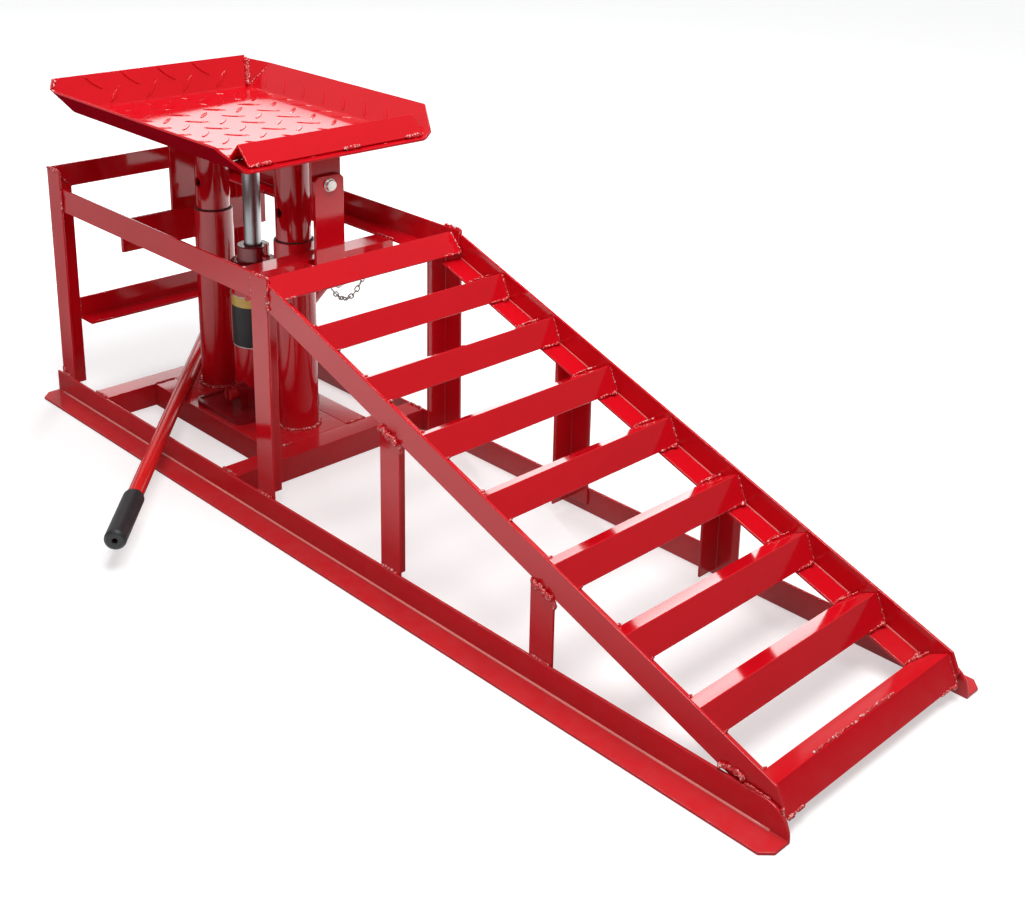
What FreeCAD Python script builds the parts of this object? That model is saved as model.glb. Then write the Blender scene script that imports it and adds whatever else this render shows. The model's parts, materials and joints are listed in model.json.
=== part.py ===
"""Car ramp jack: a welded angle-iron vehicle ramp whose top platform is raised by a bottle jack.

Frame of the part, in millimetres: X runs up the middle of the ramp towards its toe, Y to the far
side, Z up. The origin is on the floor, mid-width, under the front cross rail of the jack's base.
"""
import FreeCAD, Part
import os
import Sketcher

Vector = FreeCAD.Vector

# Driving sizes: alias, value and meaning
SIZES = [
    ("angle_leg", 30, "leg of the angle iron of the whole frame"),
    ("angle_wall", 3, "wall of that angle iron"),
    ("rear_reach", 406.5, "origin back to the rear face of the rear posts"),
    ("post_plane", 138, "centre plane to the outer face of the posts"),
    ("fit_gap", 0.3, "gap between pieces that move past each other"),
    ("overrun", 20, "how far a cut runs past the metal"),
    ("rail_tail", 10, "base rail behind the rear posts"),
    ("rail_run", 1191, "rear posts to the toe end of the base rails"),
    ("rail_tail_corner", 12, "corner cut off the rails' rear tips"),
    ("rail_toe_corner", 10, "corner cut off the rails' toe tips"),
    ("rail_toe_round", 26, "radius that brings the rail's leg down at the toe"),
    ("front_post_run", 451, "rear posts to the front posts"),
    ("middle_post_run", 671, "rear posts to the middle posts"),
    ("toe_post_run", 889, "rear posts to the toe posts"),
    ("rear_post_foot", 10, "lower end of the rear, middle and toe posts"),
    ("front_post_foot", 20, "lower end of the front posts"),
    ("rear_height", 311, "floor to the top of the rear posts"),
    ("side_rail_height", 287, "floor to the top of the side rails"),
    ("mid_rail_height", 128, "floor to the top of the rear middle rail"),
    ("slope_rise", 0.346, "fall of the ramp for each unit of run"),
    ("slope_head", 448.97, "height of the ramp's top edge line above the rear posts' face"),
    ("stringer_inset", 1, "stringer's outer face in from the posts' outer face"),
    ("stringer_toe_run", 1186, "rear posts to the stringers' toe end"),
    ("stringer_toe_cut", 14, "bevel at the stringers' toe end"),
    ("rung_end_gap", 0.5, "end of a rung to the web it is welded to"),
    ("first_rung_run", 465.8, "rear posts to the ridge of the top rung"),
    ("second_rung_run", 554.7, "rear posts to the ridge of the second rung"),
    ("toe_bar_run", 1168.4, "rear posts to the ridge of the toe bar"),
    ("rear_base_run", 115, "rear posts to the front face of the rear base rail"),
    ("base_half_width", 70, "centre plane to the side of the jack's base"),
    ("front_base_inset", 1.5, "front base rail's face ahead of the origin"),
    ("band_run", 120, "rear posts to the front face of the rear band"),
    ("band_thickness", 5, "thickness of the flat bars"),
    ("band_low", 219, "floor to the lower edge of the rear band"),
    ("band_high", 261, "floor to the upper edge of the rear band"),
    ("cross_angle_run", 391, "rear posts to the front face of the upper cross angle"),
    ("jack_run", 248, "rear posts to the axis of the jack"),
    ("rear_tube_run", 161, "rear posts to the axis of the rear guide tube"),
    ("front_tube_run", 335, "rear posts to the axis of the front guide tube"),
    ("outer_tube_diameter", 48.3, "outside of the guide tubes"),
    ("outer_tube_wall", 2.6, "wall of the guide tubes"),
    ("outer_tube_top", 269, "floor to the rim of the guide tubes"),
    ("inner_tube_diameter", 42.4, "outside of the platform's tubes"),
    ("inner_tube_wall", 3.2, "wall of the platform's tubes"),
    ("inner_tube_length", 238, "length of the platform's tubes"),
    ("tube_hole_diameter", 12, "cross hole in the platform's tubes"),
    ("tube_hole_drop", 83.6, "platform's underside down to the cross holes"),
    ("platform_height", 391.4, "floor to the top of the platform's sheet, as photographed"),
    ("sheet", 3, "thickness of the platform's tread plate"),
    ("platform_half_width", 123, "centre plane to the platform's side folds"),
    ("platform_rear_run", 60, "rear posts to the platform's rear fold"),
    ("platform_front_run", 430, "rear posts to the platform's front edge"),
    ("side_lip_rise", 31, "height of the side lips"),
    ("side_lip_lean", 31, "outward lean of the side lips over that height"),
    ("rear_lip_rise", 39, "height of the rear lip"),
    ("rear_lip_lean", 22, "backward lean of the rear lip over that height"),
    ("rear_lip_half_top", 140, "centre plane to the ends of the rear lip's top edge"),
    ("lip_rear_lean", 20, "forward lean of the side lips' rear ends"),
    ("lip_front_rise", 8, "height of the side lips at the front edge"),
    ("lip_taper_far", 38, "length over which the far side lip comes down at the front"),
    ("lip_taper_near", 10, "length over which the near side lip comes down at the front"),
    ("ridge_run", 400, "rear posts to the platform's front ridge"),
    ("ridge_near_end", 114, "centre plane to the near end of the ridge"),
    ("ridge_far_end", 128, "centre plane to the far end of the ridge"),
    ("strap_width", 40, "width of the flat lock straps"),
    ("rear_strap_run", 97, "rear posts to the front face of the rear strap"),
    ("rear_strap_low", 240, "floor to the lower end of the rear strap"),
    ("lock_strap_run", 402, "rear posts to the front face of the upper lock strap"),
    ("lock_strap_low", 310, "floor to the lower end of the upper lock strap"),
    ("lock_link_gap", 1, "gap between the upper lock strap and the lock link"),
    ("lock_link_high", 362, "floor to the top of the lock link"),
    ("lock_link_tail", 19, "axis of the lock pin down to the lower end of the lock link"),
    ("lock_link_corner", 5, "corner cut of the lock link"),
    ("lock_bolt_height", 351, "floor to the bolt through strap and link"),
    ("lock_bolt_diameter", 8, "shank of that bolt"),
    ("lock_bolt_head", 12.5, "diameter of its round head"),
    ("lock_bolt_head_rise", 4, "height of its round head"),
    ("lock_washer_diameter", 16, "washer under the bolt's head"),
    ("lock_washer", 1.2, "thickness of that washer"),
    ("lock_nut_width", 13, "width across the flats of the bolt's nut"),
    ("lock_nut_height", 3.5, "height of the bolt's thin nut"),
    ("keeper_plate", 3, "front plate of the lock keeper"),
    ("keeper_rise", 24, "height of the keeper, half of it above the lock pin's axis"),
    ("keeper_wall", 5, "side blocks of the keeper"),
    ("keeper_gate", 8.6, "centre plane to the keeper's front plates, so that the bolt can pass"),
    ("lock_pin_drop", 15, "top of the upper cross angle down to the axis of the lock pin"),
    ("lock_pin_side", 14.2, "centre plane to the axis of the lock pin, on the near side"),
    ("lock_pin_diameter", 6, "shank of the lock pin"),
    ("lock_pin_slack", 0.08, "radial clearance of the lock pin"),
    ("lock_pin_hole_slack", 0.5, "radial clearance of its hole in the moving link"),
    ("lock_pin_grip", 27, "shank of the lock pin in front of the keeper"),
    ("lock_pin_boss", 6, "length of the keeper's boss"),
    ("lock_pin_boss_wall", 2.3, "wall of the keeper's boss"),
    ("lock_pin_head", 12, "head of the lock pin"),
    ("lock_pin_head_rise", 5, "thickness of that head"),
    ("chain_wire", 1.6, "wire of the lock pin's chain"),
    ("chain_link_length", 9.5, "outside length of a chain link"),
    ("chain_link_width", 6, "outside width of a chain link"),
    ("chain_sag", 27, "how far the chain hangs below the line between its ends"),
    ("chain_end_side", 60, "centre plane to the chain's last link"),
    ("chain_end_drop", 14, "top of the upper cross angle down to the chain's last link"),
    ("jack_base_length", 101, "jack's base along the ramp"),
    ("jack_base_width", 126, "jack's base across the ramp"),
    ("jack_base_thickness", 6, "foot plate of the jack's casting"),
    ("jack_base_corner", 12, "rounded corners of that foot"),
    ("jack_base_rim", 5, "raised rim round the foot"),
    ("jack_base_recess", 2, "depth inside that rim"),
    ("jack_hub_diameter", 66, "hub of the casting round the cylinder"),
    ("jack_hub_height", 24, "height of the hub above the foot"),
    ("reservoir_diameter", 57, "outside of the jack's reservoir"),
    ("reservoir_wall", 2.5, "wall of the reservoir"),
    ("reservoir_top", 204, "floor to the top of the reservoir"),
    ("cylinder_diameter", 38, "outside of the pressure cylinder"),
    ("cylinder_floor", 12, "bottom of the cylinder above the hub's floor"),
    ("piston_diameter", 28, "bore of the pressure cylinder"),
    ("piston_height", 14, "height of the piston on the ram"),
    ("piston_slack", 0.05, "radial running clearance of ram and piston"),
    ("ram_diameter", 21.5, "diameter of the ram"),
    ("lift_left", 11.6, "how far the ram could still rise from the photographed height"),
    ("head_height", 37, "jack's head nut above the reservoir"),
    ("head_collar_height", 18, "wide lower part of the head nut"),
    ("head_neck_diameter", 40, "narrow upper part of the head nut"),
    ("head_step", 2, "steps and chamfers of the head nut"),
    ("head_spigot", 10, "head nut down inside the cylinder's mouth"),
    ("filler_height", 25, "filler plug above the head's collar"),
    ("filler_diameter", 11, "knob of the filler plug"),
    ("filler_out", 25.9, "jack's axis to the filler plug"),
    ("filler_turn", 3, "degrees from the ramp's axis round to the filler plug"),
    ("pump_out", 42, "jack's axis across to the pump's axis"),
    ("pump_diameter", 22, "outside of the pump's barrel"),
    ("pump_top", 112, "floor to the top of the pump's barrel"),
    ("plunger_diameter", 12, "pump plunger"),
    ("plunger_slack", 0.05, "radial running clearance of the plunger"),
    ("plunger_depth", 42, "plunger inside the barrel at rest"),
    ("plunger_eye_rise", 22, "top of the barrel up to the plunger's pin at rest"),
    ("lever_arm", 18, "plunger pin to fulcrum pin"),
    ("lever_pin_diameter", 7, "plunger and fulcrum pins"),
    ("lever_pin_slack", 0.05, "running clearance of the fulcrum pin"),
    ("lever_slot_slack", 0.5, "clearance of the plunger's pin in the lever's slots"),
    ("lever_slot_play", 1.4, "extra length of those slots"),
    ("lever_cheek", 4, "thickness of the lever's cheeks"),
    ("lever_cheek_margin", 5.5, "metal round the lever's holes"),
    ("socket_diameter", 25, "outside of the lever's socket"),
    ("socket_wall", 3, "wall of the socket"),
    ("socket_length", 62, "length of the socket"),
    ("socket_start", 14, "fulcrum pin to the start of the socket"),
    ("socket_tilt", 40, "degrees of the socket above the level at rest"),
    ("fulcrum_plate", 4, "thickness of the fulcrum plates"),
    ("fulcrum_width", 14, "width of the fulcrum plates"),
    ("fulcrum_corner", 3, "pin's axis out to the cut corners of those plates"),
    ("lug_pin_height", 50, "floor to the pin through the casting's lug"),
    ("valve_side", 38, "centre plane to the face that the release valve stands on"),
    ("valve_shift", 8, "release valve ahead of the jack's axis"),
    ("valve_height", 55, "floor to the release valve's axis"),
    ("valve_boss_diameter", 20, "boss of the release valve"),
    ("valve_stem_diameter", 9, "stem of the release valve"),
    ("valve_stem_depth", 7, "stem inside its boss"),
    ("valve_slack", 0.05, "running clearance of the release valve"),
    ("valve_knob_diameter", 16, "knob of the release valve"),
    ("valve_knob_length", 12, "length of that knob"),
    ("valve_slot", 4, "slot across the knob for the end of the handle"),
    ("handle_length", 580, "loose handle from end to end"),
    ("handle_diameter", 18, "tube of the handle"),
    ("handle_wall", 2, "wall of that tube"),
    ("handle_end_run", 464, "rear posts to the handle's grip end"),
    ("handle_end_side", 320, "centre plane to the handle's grip end"),
    ("handle_heading", 138.9, "degrees from the ramp's axis round to the handle"),
    ("grip_length", 94, "rubber grip"),
    ("grip_diameter", 23.4, "grip's outside"),
    ("grip_end_round", 3, "chamfer of the grip's closed end"),
    ("grip_end", 5, "closed end of the grip"),
    ("grip_end_hole", 6, "hole in the grip's end"),
]

# Sizes worked out from the driving ones: alias, formula and meaning
DERIVED = [
    ("rear_x", "-rear_reach", "rear face of the rear posts"),
    ("side_plane", "post_plane - angle_wall", "outer face of the side rails"),
    ("side_flange", "side_plane - angle_leg", "inner edge of the side rails' flanges"),
    ("side_rail_low", "side_rail_height - angle_leg", "underside of the side rails"),
    ("cross_top", "side_rail_low + angle_wall", "top of the upper cross angle"),
    ("lock_pin_height", "cross_top - lock_pin_drop", "axis of the lock pin"),
    ("lock_link_low", "lock_pin_height - lock_link_tail", "lower end of the lock link"),
    ("keeper_low", "lock_pin_height - keeper_rise / 2", "lower edge of the keeper"),
    ("stringer_plane", "post_plane - stringer_inset", "outer face of the stringers"),
    ("stringer_web", "stringer_plane - angle_wall", "inner face of the stringers' webs"),
    ("slope", "atan(slope_rise)", "slope of the ramp in degrees"),
    ("foot_drop", "(angle_leg + angle_wall) * cos(45)", "ridge of a rung down to its feet"),
    ("foot_spread", "(angle_leg - angle_wall) * cos(45)", "ridge of a rung out to its feet"),
    ("leg_spread", "angle_leg * cos(45)", "ridge of a rung out to its outer edges"),
    ("inner_ridge", "angle_wall / cos(45)", "ridge of a rung down to its inner corner"),
    ("rung_drop", "(angle_leg - angle_wall - foot_drop) / cos(slope)", "top edge line down to a rung"),
    ("post_cut", "slope_head - angle_leg / cos(slope)", "stringers' underside at the rear posts"),
    ("base_top", "angle_leg", "top of the jack's base frame"),
    ("front_base_x", "front_base_inset", "front face of the front base rail"),
    ("front_base_rear_x", "front_base_x - angle_leg", "rear edge of the front base rail"),
    ("rear_base_x", "rear_x + rear_base_run", "front face of the rear base rail"),
    ("plate_length", "front_base_rear_x - rear_base_x", "length of the base between its cross rails"),
    ("base_inner", "base_half_width - angle_leg", "inner edge of the base's side flanges"),
    ("cross_front_x", "rear_x + cross_angle_run", "front face of the upper cross angle"),
    ("jack_x", "rear_x + jack_run", "axis of the jack"),
    ("rear_tube_x", "rear_x + rear_tube_run", "axis of the rear guide tube"),
    ("front_tube_x", "rear_x + front_tube_run", "axis of the front guide tube"),
    ("underside", "platform_height - sheet", "underside of the platform"),
    ("strap_half", "strap_width / 2", "half of the straps' width"),
    ("lock_strap_x", "rear_x + lock_strap_run", "front face of the upper lock strap"),
    ("lock_link_x", "lock_strap_x + lock_link_gap", "rear face of the lock link"),
    ("lock_link_front_x", "lock_link_x + band_thickness", "front face of the lock link"),
    ("keeper_x", "lock_link_front_x + fit_gap", "rear face of the keeper's front plate"),
    ("keeper_front_x", "keeper_x + keeper_plate", "front face of the keeper's front plate"),
    ("keeper_inner", "strap_half + fit_gap", "centre plane to the keeper's side blocks"),
    ("keeper_half", "keeper_inner + keeper_wall", "centre plane to the keeper's sides"),
    ("casting_top", "base_top + jack_base_thickness", "top of the jack's foot"),
    ("cylinder_low", "casting_top", "underside of the pressure cylinder"),
    ("bore_low", "cylinder_low + cylinder_floor", "floor of the cylinder's bore"),
    ("ram_low", "reservoir_top - head_spigot - lift_left - piston_height", "underside of the ram's piston"),
    ("ram_length", "underside - ram_low", "ram from its piston to the platform"),
    ("head_top", "reservoir_top + head_height", "top of the head nut"),
    ("collar_top", "reservoir_top + head_collar_height", "top of the head nut's collar"),
    ("filler_x", "jack_x + filler_out * cos(filler_turn)", "axis of the filler plug"),
    ("filler_y", "filler_out * sin(filler_turn)", "axis of the filler plug"),
    ("pin_z", "pump_top + plunger_eye_rise", "lever pins at rest"),
    ("fulcrum_y", "pump_out + lever_arm", "fulcrum pin"),
    ("eye_half", "plunger_diameter / 2", "half thickness of the plunger's eye"),
    ("cheek_x", "eye_half + fit_gap", "jack's axis out to the lever's cheeks"),
    ("fulcrum_x", "cheek_x + lever_cheek + fit_gap", "jack's axis out to the fulcrum plates"),
    ("valve_x", "jack_x + valve_shift", "axis of the release valve"),
    ("handle_z", "base_top + fit_gap + handle_diameter / 2", "axis of the handle lying on the rails"),
]

# Places of the third to eighth rung, as shares of the way from the second rung to the toe bar
RUNG_SHARES = [0.139, 0.285, 0.431, 0.5825, 0.7275, 0.867]

# Cut corners of a chain link, as a share of half its width
LINK_CORNER_SHARE = 0.6

# The chain's curve is stepped this finely, and a link lies along the chord over so many steps each way
CURVE_STEPS, CHORD_STEPS = 400, 4

# Half section of the filler plug, as shares of its knob's radius and of its height
PLUG_SHARES = [(0, 0), (1, 0), (1, 0.35), (0.45, 0.45), (0.45, 1), (0, 1)]

doc = FreeCAD.newDocument("car_ramp_jack")
sheet = doc.addObject("Spreadsheet::Sheet", "Sizes")
for row, (alias, value, meaning) in enumerate(SIZES + DERIVED, start=1):
    sheet.set("A%d" % row, alias)
    sheet.set("B%d" % row, "=" + value if isinstance(value, str) else str(value))
    sheet.set("C%d" % row, meaning)
    sheet.setAlias("B%d" % row, alias)
doc.recompute()

ALIASES = sorted((name for name, _, _ in SIZES + DERIVED), key=len, reverse=True)
NODES = []
TOUCH = 1e-6


def bound(text):
    """Formula in sheet aliases, rewritten so that another object can hold it."""
    words = []
    word = ""
    for letter in text + " ":
        if letter.isalnum() or letter == "_":
            word += letter
            continue
        words.append("Sizes." + word if word in ALIASES else word)
        words.append(letter)
        word = ""
    return "".join(words).strip()


def number(text):
    """Present value of a formula in sheet aliases."""
    value = doc.Sizes.evalExpression(bound(text))
    return float(getattr(value, "Value", value))


def new_body(label, place=("0", "0", "0"), axis=None, angle=None):
    """Body of one sub-part, set at a place and, where it leans, turned about an axis."""
    body = doc.addObject("PartDesign::Body", label)
    body.Label = label
    if axis:
        body.Placement = FreeCAD.Placement(Vector(), FreeCAD.Rotation(Vector(*axis), number(angle)))
        body.setExpression("Placement.Rotation.Angle", bound(angle))
    for letter, formula in zip("xyz", place):
        body.setExpression("Placement.Base." + letter, bound(formula))
    NODES.append(body)
    return body


def new_sketch(body, plane, name, offset="0"):
    """Sketch on one of the body's own planes, moved along that plane's normal by an offset."""
    sketch = body.newObject("Sketcher::SketchObject", name)
    origin_plane = [item for item in body.Origin.OriginFeatures if item.Role == plane][0]
    sketch.AttachmentSupport = [(origin_plane, "")]
    sketch.MapMode = "FlatFace"
    sketch.setExpression("AttachmentOffset.Base.z", bound(offset))
    return sketch


def fix_point(sketch, edge, end, across, up):
    """Hold the end of an edge at two formulas."""
    for kind, formula in (("DistanceX", across), ("DistanceY", up)):
        held = sketch.addConstraint(Sketcher.Constraint(kind, -1, 1, edge, end, number(formula)))
        sketch.setExpression("Constraints[%d]" % held, bound(formula))


def outline(sketch, corners):
    """Closed outline through corners given as formulas."""
    spots = [Vector(number(across), number(up), 0) for across, up in corners]
    first = len(sketch.Geometry)
    count = len(spots)
    for index in range(count):
        sketch.addGeometry(Part.LineSegment(spots[index], spots[(index + 1) % count]), False)
    for index in range(count):
        follower = first + (index + 1) % count
        sketch.addConstraint(Sketcher.Constraint("Coincident", first + index, 2, follower, 1))
    for index, (across, up) in enumerate(corners):
        fix_point(sketch, first + index, 1, across, up)


def circle(sketch, across, up, radius):
    """Circle whose centre and radius are formulas."""
    centre = Vector(number(across), number(up), 0)
    edge = sketch.addGeometry(Part.Circle(centre, Vector(0, 0, 1), number(radius)), False)
    fix_point(sketch, edge, 3, across, up)
    held = sketch.addConstraint(Sketcher.Constraint("Radius", edge, number(radius)))
    sketch.setExpression("Constraints[%d]" % held, bound(radius))


def box_corners(left, right, low, high):
    """Corners of an upright rectangle between four formulas."""
    return [(left, low), (right, low), (right, high), (left, high)]


def feature(body, kind, sketch, name, length, midplane=False, reverse=False):
    """Pad or pocket of a sketch over a length given as a formula."""
    made = body.newObject("PartDesign::" + kind, name)
    made.Profile = sketch
    made.setExpression("Length", bound(length))
    made.Midplane = midplane
    made.Reversed = reverse
    sketch.Visibility = False
    return made


def cut(body, plane, corners, name, length, offset="0", midplane=True, reverse=False):
    """Pocket with a straight-sided outline; it has to take metal away."""
    sketch = new_sketch(body, plane, name + "_outline", offset)
    outline(sketch, corners)
    doc.recompute()
    before = body.Shape.Volume
    pocket = feature(body, "Pocket", sketch, name, length, midplane, reverse)
    doc.recompute()
    check_cut(body, pocket, before)
    return pocket


def drill(body, plane, across, up, radius, name, length, offset="0", midplane=True, reverse=False):
    """Round pocket; it has to take metal away."""
    sketch = new_sketch(body, plane, name + "_outline", offset)
    circle(sketch, across, up, radius)
    doc.recompute()
    before = body.Shape.Volume
    pocket = feature(body, "Pocket", sketch, name, length, midplane, reverse)
    doc.recompute()
    check_cut(body, pocket, before)
    return pocket


def check_cut(body, pocket, before):
    """Stop where a cut has failed or has missed the metal."""
    check_state(pocket)
    if not body.Shape.Volume < before:
        raise RuntimeError("%s takes nothing from %s" % (pocket.Name, body.Label))


def check_state(made):
    """Stop where an object of the document could not be built."""
    if "Invalid" in made.State or "Error" in made.State:
        raise RuntimeError("%s has failed" % made.Name)


def block(body, plane, corners, name, length, offset="0", midplane=False, reverse=False):
    """Pad with a straight-sided outline."""
    sketch = new_sketch(body, plane, name + "_outline", offset)
    outline(sketch, corners)
    return feature(body, "Pad", sketch, name, length, midplane, reverse)


def disc(body, plane, across, up, radius, name, length, offset="0", bore=None, midplane=False,
         reverse=False):
    """Round pad, hollow where a bore is given."""
    sketch = new_sketch(body, plane, name + "_outline", offset)
    circle(sketch, across, up, radius)
    if bore:
        circle(sketch, across, up, bore)
    return feature(body, "Pad", sketch, name, length, midplane, reverse)


def turned(body, corners, name, axis="V_Axis"):
    """Half section turned round an axis of its sketch: V is the body's Z axis, H its X axis."""
    sketch = new_sketch(body, "XZ_Plane", name + "_section")
    outline(sketch, corners)
    made = body.newObject("PartDesign::Revolution", name)
    made.Profile = sketch
    made.ReferenceAxis = (sketch, [axis])
    made.Angle = 360
    sketch.Visibility = False
    return made


def edges_where(body, test):
    """Names of the body's edges whose middle point passes a test."""
    doc.recompute()
    names = []
    for index, edge in enumerate(body.Shape.Edges, start=1):
        middle = edge.valueAt((edge.FirstParameter + edge.LastParameter) / 2)
        local = body.Placement.inverse().multVec(middle)
        if test(local):
            names.append("Edge%d" % index)
    return names


def near_to(value, formula):
    """Whether a measured place is where a formula puts it."""
    return abs(value - number(formula)) < TOUCH


def dress(body, names, radius, name):
    """Fillet on named edges."""
    if not names:
        raise RuntimeError("no edge for %s on %s" % (name, body.Label))
    carrier = body.Tip
    made = body.newObject("PartDesign::Fillet", name)
    made.Base = (carrier, names)
    made.setExpression("Radius", bound(radius))
    doc.recompute()
    check_state(made)
    return made


# Angle iron

PLANES = {"X": "YZ_Plane", "Y": "XZ_Plane", "Z": "XY_Plane"}


def angle_section(first, second):
    """L section with its heel at the origin and its legs along two signed directions."""
    leg_a, wall_a = "%d * angle_leg" % first, "%d * angle_wall" % first
    leg_b, wall_b = "%d * angle_leg" % second, "%d * angle_wall" % second
    return [("0", "0"), (leg_a, "0"), (leg_a, wall_b), (wall_a, wall_b), (wall_a, leg_b), ("0", leg_b)]


def angle_bar(label, along, place, signs, length, axis=None, angle=None):
    """Length of angle iron along one axis from its heel's end at a place."""
    body = new_body(label, place, axis, angle)
    sketch = new_sketch(body, PLANES[along], "section")
    outline(sketch, angle_section(*signs))
    feature(body, "Pad", sketch, "bar", length, reverse=along == "Y")
    return body


SIDES = (("near", -1), ("far", 1))
FACES = (("rear", -1), ("front", 1))


def base_rails():
    """Angle irons that lie on the floor with their flanges outward, shaped at both ends."""
    for side, sign in SIDES:
        body = angle_bar("base_rail_" + side, "X", ("rear_x - rail_tail", "%d * post_plane" % sign, "0"),
                         (sign, 1), "rail_tail + rail_run")
        edge = "%d * angle_leg" % sign
        beyond = "%d * (angle_leg + overrun)" % sign
        tail = "%d * (angle_leg - rail_tail_corner)" % sign
        cut(body, "XY_Plane", [("0", tail), ("rail_tail_corner", edge), ("rail_tail_corner", beyond),
                               ("-overrun", beyond), ("-overrun", tail)], "tail_corner", "angle_leg")
        end = "rail_tail + rail_run"
        toe = "%d * (angle_leg - rail_toe_corner)" % sign
        cut(body, "XY_Plane", [(end, toe), (end + " - rail_toe_corner", edge),
                               (end + " - rail_toe_corner", beyond), (end + " + overrun", beyond),
                               (end + " + overrun", toe)], "toe_corner", "angle_leg")
        top_edge = edges_where(body, lambda spot: near_to(spot.x, end) and near_to(spot.z, "angle_leg"))
        dress(body, top_edge, "rail_toe_round", "toe_round")


def posts():
    """Upright angle irons: an outer flange inside the base rail's leg, the other turned inward."""
    groups = (("rear", "0", "rear_post_foot", "rear_height"),
              ("front", "front_post_run", "front_post_foot", "side_rail_height"),
              ("middle", "middle_post_run", "rear_post_foot", "side_rail_height"),
              ("toe", "toe_post_run", "rear_post_foot", "side_rail_height"))
    for place, run, foot, top in groups:
        for side, sign in SIDES:
            body = angle_bar("%s_post_%s" % (place, side), "Z",
                             ("rear_x + " + run, "%d * post_plane" % sign, foot),
                             (1, -sign), "%s - %s" % (top, foot))
            if place == "rear":
                height = "rear_height - rear_post_foot"
                mitre_in = "%d * angle_leg" % -sign
                beyond = "%d * (angle_leg + overrun)" % -sign
                high = height + " + overrun"
                cut(body, "YZ_Plane", [("0", height), (mitre_in, height + " - angle_leg"),
                                       (beyond, height + " - angle_leg"), (beyond, high), ("0", high)],
                    "mitre", "angle_wall", midplane=False, reverse=True)
            if place == "front":
                clear = "%d * angle_wall" % -sign
                notch = "side_rail_low - " + foot
                cut(body, "YZ_Plane", [(clear, notch), ("%d * (angle_leg + overrun)" % -sign, notch),
                                       ("%d * (angle_leg + overrun)" % -sign, notch + " + 2 * angle_leg"),
                                       (clear, notch + " + 2 * angle_leg")],
                    "rail_notch", "angle_leg", midplane=False, reverse=True)
            if place in ("middle", "toe"):
                start = "post_cut - slope_rise * %s - %s" % (run, foot)
                end = start + " - slope_rise * angle_leg"
                high = "side_rail_height - %s + overrun" % foot
                cut(body, "XZ_Plane", [("0", start), ("angle_leg", end),
                                       ("angle_leg + overrun", end + " - slope_rise * overrun"),
                                       ("angle_leg + overrun", high), ("-overrun", high),
                                       ("-overrun", start + " + slope_rise * overrun")],
                    "slope_cut", "2 * angle_leg + overrun")


def side_rails():
    """Level rails between rear and front posts, flange inward at the bottom."""
    for side, sign in SIDES:
        angle_bar("side_rail_" + side, "X",
                  ("rear_x + angle_wall", "%d * side_plane" % sign, "side_rail_low"),
                  (-sign, 1), "front_post_run + angle_leg - angle_wall")


def rear_rails():
    """Mitred top bar, middle angle and base angle across the rear."""
    body = new_body("rear_top_rail", ("rear_x", "0", "rear_height"))
    block(body, "YZ_Plane", [("-post_plane", "0"), ("-post_plane + angle_leg", "-angle_leg"),
                             ("post_plane - angle_leg", "-angle_leg"), ("post_plane", "0")],
          "bar", "angle_wall")
    inner = "post_plane - angle_leg"
    angle_bar("rear_middle_rail", "Y", ("rear_x", "-(%s)" % inner, "mid_rail_height - angle_leg"),
              (1, 1), "2 * (%s)" % inner)
    angle_bar("rear_base_rail", "Y", ("rear_base_x", "-post_plane", "base_top"),
              (-1, -1), "2 * post_plane")
    angle_bar("front_base_rail", "Y", ("front_base_x", "-post_plane", "base_top"),
              (-1, -1), "2 * post_plane")


def jack_base_frame():
    """Side angles and the plate between them that carry the jack and the guide tubes."""
    for side, sign in SIDES:
        angle_bar("base_angle_" + side, "X", ("rear_base_x", "%d * base_half_width" % sign, "base_top"),
                  (-sign, -1), "plate_length")
    body = new_body("base_plate", ("rear_base_x", "0", "base_top"))
    block(body, "XY_Plane", box_corners("0", "plate_length", "-base_inner", "base_inner"),
          "plate", "angle_wall", reverse=True)


def stringers():
    """Sloping side rails, cut upright at the front posts and bevelled at the toe."""
    run = "stringer_toe_run / cos(slope)"
    for side, sign in SIDES:
        body = new_body("stringer_" + side, ("rear_x", "%d * stringer_plane" % sign, "slope_head"),
                        (0, 1, 0), "slope")
        block(body, "YZ_Plane", [("0", "0"), ("0", "-angle_leg"),
                                 ("%d * angle_leg" % -sign, "-angle_leg"),
                                 ("%d * angle_leg" % -sign, "angle_wall - angle_leg"),
                                 ("%d * angle_wall" % -sign, "angle_wall - angle_leg"),
                                 ("%d * angle_wall" % -sign, "0")], "bar", run)
        head = "(front_post_run + angle_leg) / cos(slope)"
        lean = "angle_leg * tan(slope)"
        over = "overrun * tan(slope)"
        cut(body, "XZ_Plane", [("-overrun", "overrun"), (head + " - " + over, "overrun"),
                               (head, "0"), (head + " + " + lean, "-angle_leg"),
                               (head + " + " + lean + " + " + over, "-angle_leg - overrun"),
                               ("-overrun", "-angle_leg - overrun")],
            "head_cut", "2 * (angle_leg + overrun)")
        cut(body, "XZ_Plane", [(run + " - stringer_toe_cut", "0"), (run, "-stringer_toe_cut"),
                               (run + " + overrun", "-stringer_toe_cut"), (run + " + overrun", "overrun"),
                               (run + " - stringer_toe_cut", "overrun")],
            "toe_cut", "2 * (angle_leg + overrun)")


def ridge_section():
    """Angle iron laid as a ridge: its heel at the origin, both legs 45 degrees down."""
    return [("0", "0"), ("leg_spread", "-leg_spread"), ("foot_spread", "-foot_drop"),
            ("0", "-inner_ridge"), ("-foot_spread", "-foot_drop"), ("-leg_spread", "-leg_spread")]


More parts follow.
